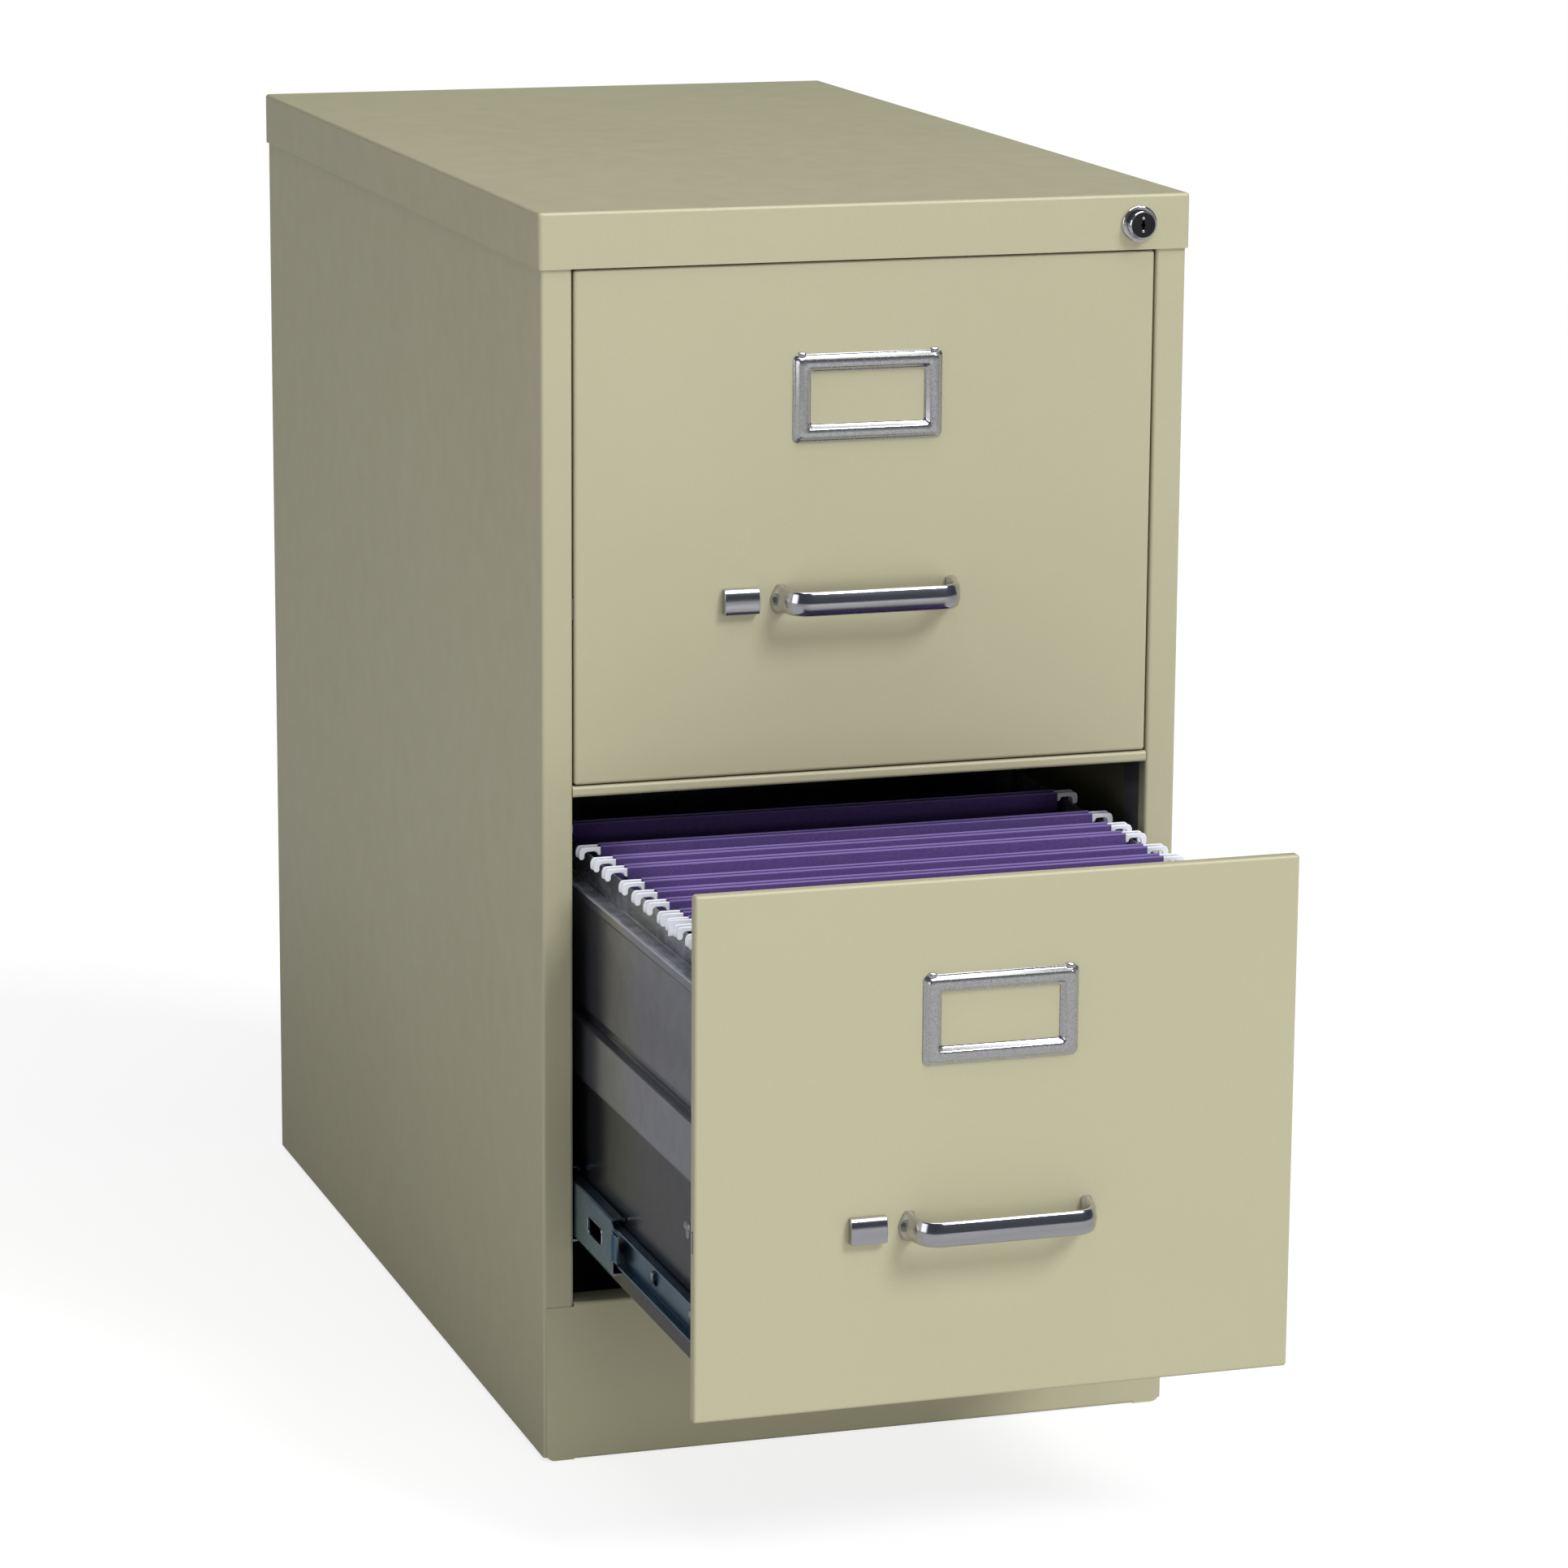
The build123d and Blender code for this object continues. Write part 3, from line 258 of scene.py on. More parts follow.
def pressed_side(name, level):
    """Rolled sheet with painted light and shade by height: dark low down and in the groove, bright on the
    band and hem, and a stained trough above the hem.
    """
    material = rolled_metal(
        name, (0.55, 0.56, 0.655), (0.35, 0.36, 0.425), roughness=0.21, cells=130.0,
        streaks=(0.3, 0.05, 1), spread=0.05, relief=0.004,
    )
    tree = material.node_tree
    shader = tree.nodes["Principled BSDF"]
    plain = shader.inputs["Base Color"].links[0].from_socket
    height = height_above(tree, level)
    ramp = tree.nodes.new("ShaderNodeValToRGB")
    points = ramp.color_ramp.elements
    while len(points) < len(SIDE_LIGHT_AND_SHADE):
        points.new(0.5)
    for point, (above, tone) in zip(points, SIDE_LIGHT_AND_SHADE):
        grey = tone / BRIGHTEST
        point.position = above / SIDE_SPAN
        point.color = (grey, grey, grey, 1)
    feed(tree, ramp.inputs["Fac"], remap(tree, height, 0.0, SIDE_SPAN * MM))
    # Painted light and shade: the sheet's colour is multiplied by the tones of the ramp by height.
    lit_and_shaded = mix_colours(tree, 1.0, plain, ramp.outputs["Color"], "MULTIPLY")
    patches = remap(tree, noise(tree, scale=75.0, detail=3.0, stretch=(1, 0.6, 1)), 0.4, 0.62)
    stains = mix_colours(tree, patches, (0.5, 0.52, 0.5), WHITE)
    trough = remap(tree, height, TROUGH_FROM, TROUGH_FULL)
    feed(tree, shader.inputs["Base Color"], mix_colours(tree, trough, lit_and_shaded, stains, "MULTIPLY"))
    # The metallic falls from 0.88 to 0.25 over the hem's crest. The crest and trough then look brighter and
    # less mirror-like, as part of the painted bright hem.
    crest_highlight = remap(tree, height, HEM_CREST_FROM, HEM_CREST_FULL, 0.88, 0.25)
    stained = between(tree, trough, 0.0, 0.25)
    feed(tree, shader.inputs["Metallic"], calculate(tree, "ADD", crest_highlight, stained))
    return material


materials = {
    "putty_paint": paint("putty_paint", (0.40, 0.381, 0.255), (0.388, 0.369, 0.246)),
    "zinc_plated_steel": rolled_metal(
        "zinc_plated_steel", (0.42, 0.42, 0.45), (0.27, 0.272, 0.295), roughness=0.34, cells=130.0,
        streaks=(0.3, 0.05, 1), metallic=0.65,
    ),
    "slide_steel": rolled_metal(
        "slide_steel", (0.28, 0.43, 0.56), (0.15, 0.24, 0.33), roughness=0.28, cells=60.0,
        streaks=(1, 0.05, 1),
    ),
    "bearing_steel": bright_metal("bearing_steel", (0.62, 0.62, 0.64), (0.5, 0.5, 0.52), 0.2),
    "spring_steel": bright_metal("spring_steel", (0.45, 0.45, 0.47), (0.35, 0.35, 0.37), 0.3),
    "lock_chrome": bright_metal("lock_chrome", (0.8, 0.79, 0.8), (0.72, 0.71, 0.72), 0.09, spread=0.03),
    "lock_black": coating("lock_black", (0.004, 0.004, 0.006), (0.008, 0.008, 0.011), 0.22),
    "polished_aluminium": bright_metal(
        "polished_aluminium", (0.62, 0.62, 0.66), (0.52, 0.52, 0.56), roughness=0.17,
        grain=(0.04, 1, 1), spread=0.03,
    ),
    "satin_aluminium": bright_metal(
        "satin_aluminium", (0.7, 0.7, 0.72), (0.55, 0.55, 0.57), roughness=0.25, grain=(3, 4, 4)
    ),
    "purple_card": card(
        "purple_card", (0.1, 0.062, 0.235), (0.074, 0.045, 0.178), crest_highlight=(0.18, 0.13, 0.34),
        fold_height=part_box("hanging_folders")[1].z,
    ),
    "hook_white": coating("hook_white", (0.78, 0.8, 0.86), (0.7, 0.72, 0.79), 0.35),
}
for part in record["subparts"]:
    nodes[part["node"]].material_slots[0].material = materials[part["material_slot"]]
for place in PLACES:
    # The drawer sides take the material with painted light and shade by height.
    finish = pressed_side(place + "_side_steel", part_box(place + "_drawer_front")[0].z)
    for side in ("left", "right"):
        nodes[place + "_drawer_side_" + side].material_slots[0].material = finish


# Meshes: a skin is a list of vertices and a list of faces
def add_mesh(name, skin, slot, body, stands_for=(), smooth=40, bevel=0.0):
    """New piece of the object: its skin, finish and body, and the CAD nodes that it replaces."""
    verts, faces = skin
    mesh = bpy.data.meshes.new(name)
    mesh.from_pydata([tuple(v) for v in verts], [], faces)
    work = bmesh.new()
    work.from_mesh(mesh)
    bmesh.ops.recalc_face_normals(work, faces=work.faces)
    work.to_mesh(mesh)
    work.free()
    piece = bpy.data.objects.new(name, mesh)
    bpy.context.scene.collection.objects.link(piece)
    mesh.materials.append(materials[slot])
    if bevel:
        edge = piece.modifiers.new("edge", "BEVEL")
        edge.width = bevel
        edge.segments = 2
        edge.limit_method = "ANGLE"
        edge.angle_limit = math.radians(40)
    mesh.shade_smooth()
    mesh.set_sharp_from_angle(angle=math.radians(smooth))
    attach(piece, body)
    if stands_for:
        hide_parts(*stands_for)
    return piece


def loft(rings, closed=False):
    """Skin over rings of equally many points, capped at its ends or closed on itself."""
    count = len(rings[0])
    verts = [point for ring in rings for point in ring]
    faces = []
    spans = len(rings) if closed else len(rings) - 1
    for ring in range(spans):
        first, second = ring * count, (ring + 1) % len(rings) * count
        for k in range(count):
            after = (k + 1) % count
            faces.append((first + k, first + after, second + after, second + k))
    if not closed:
        faces.append(tuple(range(count)))
        faces.append(tuple(range(len(verts) - count, len(verts))))
    return verts, faces


def merge(*skins):
    """Several skins as one."""
    verts, faces = [], []
    for more_verts, more_faces in skins:
        start = len(verts)
        verts += list(more_verts)
        faces += [tuple(start + i for i in face) for face in more_faces]
    return verts, faces


def both_sides(skin):
    """A skin of the left side together with its mirror image on the right."""
    verts, faces = skin
    mirrored = [(-x, y, z) for x, y, z in verts], [tuple(reversed(face)) for face in faces]
    return merge(skin, mirrored)


def circle(radius, steps):
    """Points round a circle, from its right side."""
    angles = (2 * math.pi * k / steps for k in range(steps))
    return [(radius * math.cos(a), radius * math.sin(a)) for a in angles]


def rounded_rectangle(width, height, radius, steps=5):
    """Outline of a rectangle with rounded corners, anticlockwise from its right side."""
    points = []
    for turn, (sx, sz) in enumerate(((1, 1), (-1, 1), (-1, -1), (1, -1))):
        for k in range(steps + 1):
            angle = math.pi / 2 * (turn + k / steps)
            x = sx * (width / 2 - radius) + radius * math.cos(angle)
            z = sz * (height / 2 - radius) + radius * math.sin(angle)
            points.append((x, z))
    return points


def box_skin(low, high):
    """Box between two corners."""
    rings = [
        [(low[0], y, low[2]), (high[0], y, low[2]), (high[0], y, high[2]), (low[0], y, high[2])]
        for y in (low[1], high[1])
    ]
    return loft(rings)


# Handles: a polished bow whose section, in mm up and out, is rounded in front and flares at its feet
BOW_SECTION = (
    (7.0, -0.3), (6.9, 0.25), (6.55, 0.72), (5.4, 1.16), (3.6, 1.72), (1.9, 2.2), (1.0, 2.38),
    (0.1, 2.44), (-1.2, 2.4), (-3.2, 2.16), (-5.2, 1.7), (-6.3, 1.2), (-6.9, 0.3), (-6.8, -1.2),
    (-6.2, -2.0), (0.0, -2.1), (6.2, -2.0), (6.9, -1.2),
)
BOW_PROUD = 2.45 * MM
BOW_HALF_FOOT = 52.0 * MM
BOW_HALF_FRONT = 48.2 * MM
BOW_CORNER = 11.5 * MM
BOW_LEG_SHARES = (0.0, 0.06, 0.14, 0.26, 0.42, 0.65)
BOW_FRONT_STATIONS = (-30 * MM, -20 * MM, -10 * MM)
BOW_CORNER_STEPS = 12
FLARE_HEIGHT = 3.2 * MM
FLARE_IN_FRONT = 0.9
FLARE_BEHIND = 1.2
FOOT_RISE_HEIGHT = 5.0 * MM
FOOT_RISE = 0.215


def bow_path(reach):
    """Places and directions along the bow in plan, from the left foot to the right one."""
    straight = Vector((1, 0))
    lean = Vector((BOW_HALF_FOOT - BOW_HALF_FRONT, reach)).normalized()
    bend = math.acos(lean.dot(straight))
    cut = BOW_CORNER * math.tan(bend / 2)
    leg = reach / lean.y - cut
    side = [(Vector((-BOW_HALF_FOOT, 0)) + lean * share * leg, lean) for share in BOW_LEG_SHARES]
    corner_start = Vector((-BOW_HALF_FRONT, reach)) - lean * cut
    centre = corner_start + Vector((lean.y, -lean.x)) * BOW_CORNER
    for k in range(BOW_CORNER_STEPS + 1):
        turn = bend * (1 - k / BOW_CORNER_STEPS)
        heading = Vector((math.cos(turn), math.sin(turn)))
        side.append((centre + Vector((-heading.y, heading.x)) * BOW_CORNER, heading))
    side += [(Vector((x, reach)), straight) for x in BOW_FRONT_STATIONS]
    back = [(Vector((-p.x, p.y)), Vector((d.x, -d.y))) for p, d in reversed(side)]
    return side + [(Vector((0, reach)), straight)] + back


def make_handle(place, body):
    """Bow handle that stands for the plain one."""
    low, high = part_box(place + "_handle")
    middle = (low.z + high.z) / 2
    rings = []
    for point, heading in bow_path(high.y - low.y - BOW_PROUD):
        flare = math.exp(-((point.y / FLARE_HEIGHT) ** 2))
        tall = 1 + FOOT_RISE * math.exp(-((point.y / FOOT_RISE_HEIGHT) ** 2))
        outward = Vector((-heading.y, heading.x))
        ring = []
        for up, out in BOW_SECTION:
            wider = FLARE_IN_FRONT if out > 0 else FLARE_BEHIND
            plan = point + outward * out * (1 + flare * wider) * MM
            ring.append((plan.x, high.y - max(plan.y, 0.0), middle + up * tall * MM))
        rings.append(ring)
    add_mesh(
        place + "_bow_handle", loft(rings), "polished_aluminium", body, (place + "_handle",), smooth=50
    )


# Label holders: a pressed frame of a brim and sloped walls, as width, height, corner and rise in mm
HOLDER_RINGS = (
    (88.3, 50.0, 3.4, 0.0), (88.3, 50.0, 3.4, 0.7), (87.7, 49.4, 3.2, 1.0), (86.4, 48.1, 3.0, 1.1),
    (85.7, 47.4, 2.9, 1.35), (83.4, 45.1, 2.8, 2.9), (82.9, 44.6, 2.7, 3.3), (81.9, 43.6, 2.5, 3.5),
    (73.4, 35.6, 2.2, 3.5), (72.5, 34.7, 2.1, 3.3), (72.0, 34.2, 2.0, 2.9), (69.4, 31.6, 1.8, 1.0),
    (68.6, 30.8, 1.7, 0.7), (67.6, 29.8, 1.6, 0.6), (67.6, 29.8, 1.6, 0.0),
)
HOLDER_HALF_HEIGHT = 25 * MM
# Its two small ears, as width, height and rise in mm
EAR_RINGS = ((5.0, 3.4, 0.0), (5.0, 3.4, 1.0), (4.2, 2.6, 1.9), (2.6, 1.4, 2.3))
EAR_CORNER_SHARE = 0.42
EAR_ASIDE = 39.2 * MM
EAR_UP = 24.6 * MM


def make_label_holder(place, body):
    """Label frame with ears that stands for the plain one."""
    low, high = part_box(place + "_label_holder")
    middle = low.z + HOLDER_HALF_HEIGHT
    rings = []
    for width, height, radius, out in HOLDER_RINGS:
        outline = rounded_rectangle(width * MM, height * MM, radius * MM)
        rings.append([(x, high.y - out * MM, middle + z) for x, z in outline])
    ear_rings = []
    for width, height, out in EAR_RINGS:
        outline = rounded_rectangle(width * MM, height * MM, height * EAR_CORNER_SHARE * MM, 3)
        ear_rings.append([(x - EAR_ASIDE, high.y - out * MM, middle + EAR_UP + z) for x, z in outline])
    skin = merge(loft(rings, closed=True), both_sides(loft(ear_rings)))
    add_mesh(
        place + "_label_frame", skin, "satin_aluminium", body, (place + "_label_holder",), smooth=35
    )


# Thumb latch buttons: a block with a rounded top edge, in mm up and out, on a square stem
BUTTON_SECTION = (
    (-7.3, 0.3), (-7.3, 4.3), (-7.0, 5.0), (-6.2, 5.28), (-3.0, 5.3), (0.0, 5.3), (2.5, 5.05),
    (4.6, 4.55), (6.1, 3.95), (6.9, 3.3), (7.3, 2.2), (7.3, 0.3),
)
BUTTON_PROUD = 5.3 * MM
STEM_SECTION = ((-3, -3), (3, -3), (3, 3), (-3, 3))
BUTTON_EDGE = 0.35 * MM


def make_latch_button(place, body):
    """Latch block that stands for the plain button."""
    low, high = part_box(place + "_latch_button")
    middle = (low + high) / 2
    face = low.y + BUTTON_PROUD
    block = loft(
        [[(x, face - out * MM, middle.z + up * MM) for up, out in BUTTON_SECTION] for x in (low.x, high.x)]
    )
    stem = loft(
        [[(middle.x + x * MM, y, middle.z + z * MM) for x, z in STEM_SECTION] for y in (face, high.y)]
    )
    add_mesh(
        place + "_latch_block", merge(block, stem), "polished_aluminium", body,
        (place + "_latch_button",), smooth=35, bevel=BUTTON_EDGE,
    )


for place in PLACES:
    make_handle(place, place + "_drawer")
    make_label_holder(place, place + "_drawer")
    make_latch_button(place, place + "_latch")

# Hanging folders: each card folded over a bar in front and one behind, a little out of true.
# Places are in mm behind the lower drawer's face, and the sizes of the card are in mm too.
FOLDER_PLACES = (25, 45, 67, 82, 98, 124, 147, 172, 206, 229, 260, 318)
BAR_SPREAD = 3.2
CARD_UNDER_TOP = 0.25
CARD_ARCH = 0.85
CARD_DROP = 224.0
CARD_FOOT = 1.0
CARD_BULGE = 2.0
LIP_DEPTHS = (6.0, 11.0)
LIP_LEAN = 0.15
ARCH_STEPS = 6
DROP_STEPS = 8
CARD_THICKNESS = 0.45 * MM
CARD_COLUMNS = 13
WAVE_DEPTH = 60.0
WAVE_HEIGHT = 0.9
WAVE_TURNS = 4.2
card_low, card_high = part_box("hanging_folders")
lower_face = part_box("lower_drawer_front")[0].y


def card_profile(middle, lean):
    """Line of a folder's card from the front lip over both bars to the rear lip, in mm."""
    top = card_high.z / MM - CARD_UNDER_TOP
    line = []
    for side in (-1, 1):
        bar = middle + side * BAR_SPREAD
        lip = [
            (bar - side * CARD_ARCH, top - LIP_DEPTHS[0]),
            (bar - side * (CARD_ARCH + LIP_LEAN), top - LIP_DEPTHS[1]),
        ]
        arch = []
        for k in range(ARCH_STEPS + 1):
            angle = math.pi * k / ARCH_STEPS
            arch.append((bar + side * CARD_ARCH * math.cos(angle), top + CARD_ARCH * (math.sin(angle) - 1)))
        outer = []
        for k in range(1, DROP_STEPS + 1):
            share = k / DROP_STEPS
            reach = side * (BAR_SPREAD + CARD_ARCH) * (1 - share) + side * CARD_FOOT * share
            bulge = side * CARD_BULGE * math.sin(math.pi * share) * lean
            drop = (CARD_DROP - CARD_ARCH) * share
            outer.append((middle + reach + bulge, top - CARD_ARCH - drop))
        run = list(reversed(lip)) + list(reversed(arch)) + outer
        line += run if side < 0 else list(reversed(run))
    return line


def folder_sheet(middle):
    """One folder's card as an open skin, with a bulge, a tilt, a sag and waves of its own."""
    lean = random.uniform(0.2, 1.0)
    tilt = random.uniform(-0.5, 0.5)
    sag = random.uniform(0.1, 0.5)
    phase = random.uniform(0, 6.28)  # a whole turn
    profile = card_profile(middle, lean)
    count = len(profile)
    top = max(z for _, z in profile)
    verts, faces = [], []
    for column in range(CARD_COLUMNS):
        share = column / (CARD_COLUMNS - 1)
        x = card_low.x + (card_high.x - card_low.x) * share
        dip = sag * math.sin(math.pi * share)
        ripple = WAVE_HEIGHT * math.sin(WAVE_TURNS * share + phase) + tilt * (2 * share - 1)
        for y, z in profile:
            depth = min((top - z) / WAVE_DEPTH, 1.0)
            verts.append((x, (y + depth * ripple) * MM, (z - dip) * MM))
    for column in range(CARD_COLUMNS - 1):
        for k in range(count - 1):
            first = column * count + k
            faces.append((first, first + 1, first + count + 1, first + count))
    return verts, faces


def make_folders():
    """Cards that stand for the plain folders."""
    sheets = [folder_sheet(lower_face / MM + distance) for distance in FOLDER_PLACES]
    piece = add_mesh(
        "folder_cards", merge(*sheets), "purple_card", "lower_drawer", ("hanging_folders",), smooth=60
    )
    thick = piece.modifiers.new("card", "SOLIDIFY")
    thick.thickness = CARD_THICKNESS
    thick.offset = 0.0


# The bars' right-hand hooks, in mm from the drawer's middle and up from the bars' lowest edge
HOOK_OUTLINE = (
    (140.0, 7.6), (140.0, 3.0), (150.2, 3.0), (151.2, 3.6), (151.6, 4.9), (152.6, 5.5), (157.0, 5.5),
    (158.4, 4.9), (158.9, 3.8), (158.9, 2.1), (159.5, 1.1), (160.8, 0.8), (162.0, 1.5), (162.3, 2.9),
    (162.2, 5.4), (161.4, 7.3), (160.0, 8.0), (152.0, 8.0),
)
HOOK_HALF = 0.65 * MM
SQUARE_HOOK_OUTLINE = (
    (140.0, 8.4), (140.0, 1.6), (151.2, 1.6), (151.5, 4.6), (152.6, 5.0), (158.6, 5.0), (159.4, 4.4),
    (159.4, -0.4), (162.6, -0.4), (162.6, 8.4),
)
SQUARE_HOOK_HALF = 0.5 * MM
SQUARE_HOOK_FOLDER = 3
HOOK_EDGE = 0.35 * MM
BAR_SECTION = ((-0.55, 0.6), (0.55, 0.6), (0.55, 7.0), (-0.55, 7.0))
BAR_HALF_LENGTH = 140.2 * MM
bar_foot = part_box("folder_hook_bars")[0].z


def make_hooks():
    """Coated hooks at the ends of the folders' bars, and the bare bars inside the cards."""
    hooks = []
    bars = []
    for index, distance in enumerate(FOLDER_PLACES):
        for side in (-1, 1):
            middle = lower_face + (distance + side * BAR_SPREAD) * MM
            square = index == SQUARE_HOOK_FOLDER and side == -1
            outline = SQUARE_HOOK_OUTLINE if square else HOOK_OUTLINE
            half = SQUARE_HOOK_HALF if square else HOOK_HALF
            for end in (-1, 1):
                rings = [
                    [(end * x * MM, middle + y, bar_foot + z * MM) for x, z in outline]
                    for y in (-half, half)
                ]
                hooks.append(loft(rings))
            rings = [
                [(x, middle + y * MM, bar_foot + z * MM) for y, z in BAR_SECTION]
                for x in (-BAR_HALF_LENGTH, BAR_HALF_LENGTH)
            ]
            bars.append(loft(rings))
    add_mesh(
        "folder_hook_ends", merge(*hooks), "hook_white", "lower_drawer", ("folder_hook_bars",),
        smooth=50, bevel=HOOK_EDGE,
    )
    add_mesh("folder_bars", merge(*bars), "spring_steel", "lower_drawer", smooth=40)


make_folders()
make_hooks()


# Springs: coils of round wire
def helix(start, axis, length, radius, wire_radius, turns):
    """Coil along +X or +Z from its start point."""
    rings = []
    per_turn = 20
    section = circle(wire_radius, 8)
    side = Vector((0, 1, 0))
    other = axis.cross(side)
    total = turns * per_turn
    for k in range(total + 1):
        angle = 2 * math.pi * k / per_turn
        out = side * math.cos(angle) + other * math.sin(angle)
        centre = start + axis * (length * k / total) + out * radius
        rings.append([centre + out * aside + axis * along for aside, along in section])
    return loft(rings)


def make_spring(name, node, axis, body, wire, turns):
    """Coil that fills its plain solid's box and stands for that solid."""
    low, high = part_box(node)
    centre = (low + high) / 2
    along = Vector(axis)
    length = (high - low).dot(along)
    diameter = high.y - low.y
    start = centre - along * (length / 2 - wire / 2)
    skin = helix(start, along, length - wire, (diameter - wire) / 2, wire / 2, turns)
    piece = add_mesh(name, skin, "spring_steel", body, (node,), smooth=80)
    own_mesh(piece)


make_spring(
    "lock_return_spring", "lock_bar_spring", (0, 0, 1), "cabinet",
    wire=0.9 * MM, turns=7,
)
for place in PLACES:
    make_spring(
        place + "_latch_coil", place + "_latch_spring", (1, 0, 0), place + "_drawer",
        wire=0.5 * MM, turns=9,
    )

# Lock: a black ring on the plunger's face, and two bright inserts in the key plug's keyway
RING_INNER = 5.25 * MM
RING_OUTER = 7.2 * MM
RING_PROUD = 0.12 * MM
RING_SUNK = 0.5 * MM
RING_EDGE = 0.1 * MM
RING_STEPS = 48
INSERT_WIDTH = 1.9 * MM
INSERT_CORNER = 0.8 * MM
INSERT_ASIDE = 3.7 * MM
# Depth behind the lock's face in mm, and share of the insert's full width
INSERT_RINGS = ((1.0, 1.0), (0.1, 1.0), (-0.15, 0.85), (-0.35, 0.55), (-0.42, 0.15))
plunger_low, plunger_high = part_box("lock_plunger")
lock_middle = (plunger_low + plunger_high) / 2
lock_face = plunger_low.y


def make_lock_ring():
    """Flat ring round the key plug."""
    near, far = lock_face - RING_PROUD, lock_face + RING_SUNK
    section = (
        (RING_INNER, far), (RING_OUTER, far), (RING_OUTER, near + RING_EDGE), (RING_OUTER - RING_EDGE, near),
        (RING_INNER, near),
    )
    rings = [
        [(lock_middle.x + x, y, lock_middle.z + z) for x, z in circle(radius, RING_STEPS)]
        for radius, y in section
    ]
    add_mesh("lock_face_ring", loft(rings, closed=True), "lock_black", "lock_plunger", smooth=40)


def make_keyway_inserts():
    """Two rounded bright inserts, one above the other."""
    outline = rounded_rectangle(INSERT_WIDTH, INSERT_WIDTH, INSERT_CORNER, 4)
    inserts = []
    for up in (INSERT_ASIDE, -INSERT_ASIDE):
        rings = [
            [
                (lock_middle.x + x * share, lock_face + depth * MM, lock_middle.z + up + z * share)
                for x, z in outline
            ]
            for depth, share in INSERT_RINGS
        ]
        inserts.append(loft(rings))
    add_mesh("lock_keyway_inserts", merge(*inserts), "satin_aluminium", "lock_plug", smooth=40)


make_lock_ring()
make_keyway_inserts()

# Drawer sides: a lanced eye in the wall, and the fine bright line at the foot of the hanging rail
SIDE_WALL = -163.0 * MM
EYE_SETBACK = 34 * MM
EYE_HEIGHT = 97.1 * MM
TONGUE_BELOW_EYE = 3.2 * MM
HEM_BELOW_RAIL_TOP = 16.7 * MM
RAIL_FOOT_IN = 7.3 * MM
RAIL_FOOT_UP = 0.1 * MM
RAIL_FOOT_RADIUS = 0.45 * MM
# Half length, half height and rise of the hood and of the tongue
HOOD_SIZE = (5 * MM, 4.5 * MM, 1.6 * MM)
TONGUE_SIZE = (2.6 * MM, 3.0 * MM, 0.7 * MM)
DOME_STEPS = 18
DOME_LEVELS = 5
DOME_TIP_SHARE = 0.02


def wall_dome(y, z, size, upper_half=False):
    """Low dome pressed out of the left wall, from its rim to its crest."""
    half_length, half_height, proud = size
    span = math.pi if upper_half else 2 * math.pi
    rings = []
    for k in range(DOME_LEVELS + 1):
        angle = math.pi / 2 * k / DOME_LEVELS
        shrink = math.cos(angle) if k < DOME_LEVELS else DOME_TIP_SHARE
        ring = []
        for n in range(DOME_STEPS + 1 if upper_half else DOME_STEPS):
            turn = span * n / DOME_STEPS
            ring.append(
                (
                    SIDE_WALL - proud * math.sin(angle),
                    y + half_length * shrink * math.cos(turn),
                    z + half_height * shrink * math.sin(turn),
                )
            )
        rings.append(ring)
    return loft(rings)


def make_side_lances(place, body):
    """Hood of the lanced eye with its tongue below, on both sides."""
    eye_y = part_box(place + "_drawer_side_left")[0].y + EYE_SETBACK
    eye_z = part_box(place + "_drawer_front")[0].z + EYE_HEIGHT
    hood = wall_dome(eye_y, eye_z, HOOD_SIZE, upper_half=True)
    tongue = wall_dome(eye_y, eye_z - TONGUE_BELOW_EYE, TONGUE_SIZE)
    skin = both_sides(merge(hood, tongue))
    add_mesh(place + "_side_lances", skin, "zinc_plated_steel", body, smooth=60)


def make_side_edges(place, body):
    """Slim round edge where the hanging rail stands up from the hem."""
    low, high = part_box(place + "_drawer_side_left")
    x = SIDE_WALL + RAIL_FOOT_IN
    z = high.z - HEM_BELOW_RAIL_TOP + RAIL_FOOT_UP
    rings = [[(x + dx, y, z + dz) for dx, dz in circle(RAIL_FOOT_RADIUS, 10)] for y in (low.y, high.y)]
    add_mesh(place + "_side_bright_edges", both_sides(loft(rings)), "bearing_steel", body, smooth=60)


# Slides: thin bright edges where the middle member is cut, and raised tabs on the drawer member
SLIDE_SHEET = 1.2 * MM
SLIDE_HALF_HEIGHT = 16.7 * MM
SLIDE_MOUTH = 8.2 * MM
SLIDE_BEND = 1.0 * MM
WEB_HALF_HEIGHT = 15.6 * MM
STOP_LENGTH = 6.5 * MM
STOP_HALF_HEIGHT = 7.9 * MM
STOP_EDGE_HEIGHT = 7.7 * MM
STOP_EDGE_HALF = 0.25 * MM
STOP_END_HALF = 0.2 * MM
CUT_PROUD = 0.25 * MM
CUT_SUNK = 0.1 * MM
STOP_PROUD = 0.1 * MM
STOP_EDGE_PROUD = 0.15 * MM
SLOT_SETBACK = 33 * MM
# Length, height and corner of the slot, in mm
SLOT_SIZE = (28.0, 10.0, 3.3)
# Rise and growth of the rim round the slot, in mm
SLOT_RIM = ((0.0, 1.2), (0.3, 0.9), (0.4, 0.4), (0.25, 0.0), (0.0, -0.05))
TAB_SETBACKS = (90 * MM, 18 * MM)
# The tabs' height and rise in mm, and the places across them
TAB_PROFILE = ((-4.2, 0.0), (-3.4, 1.1), (-1.0, 2.1), (1.6, 2.3), (3.2, 1.9), (3.6, 0.6), (3.6, 0.0))
TAB_ACROSS = (-2.4, -1.6, 0.0, 1.6, 2.4)
TAB_SUNK = 0.3 * MM


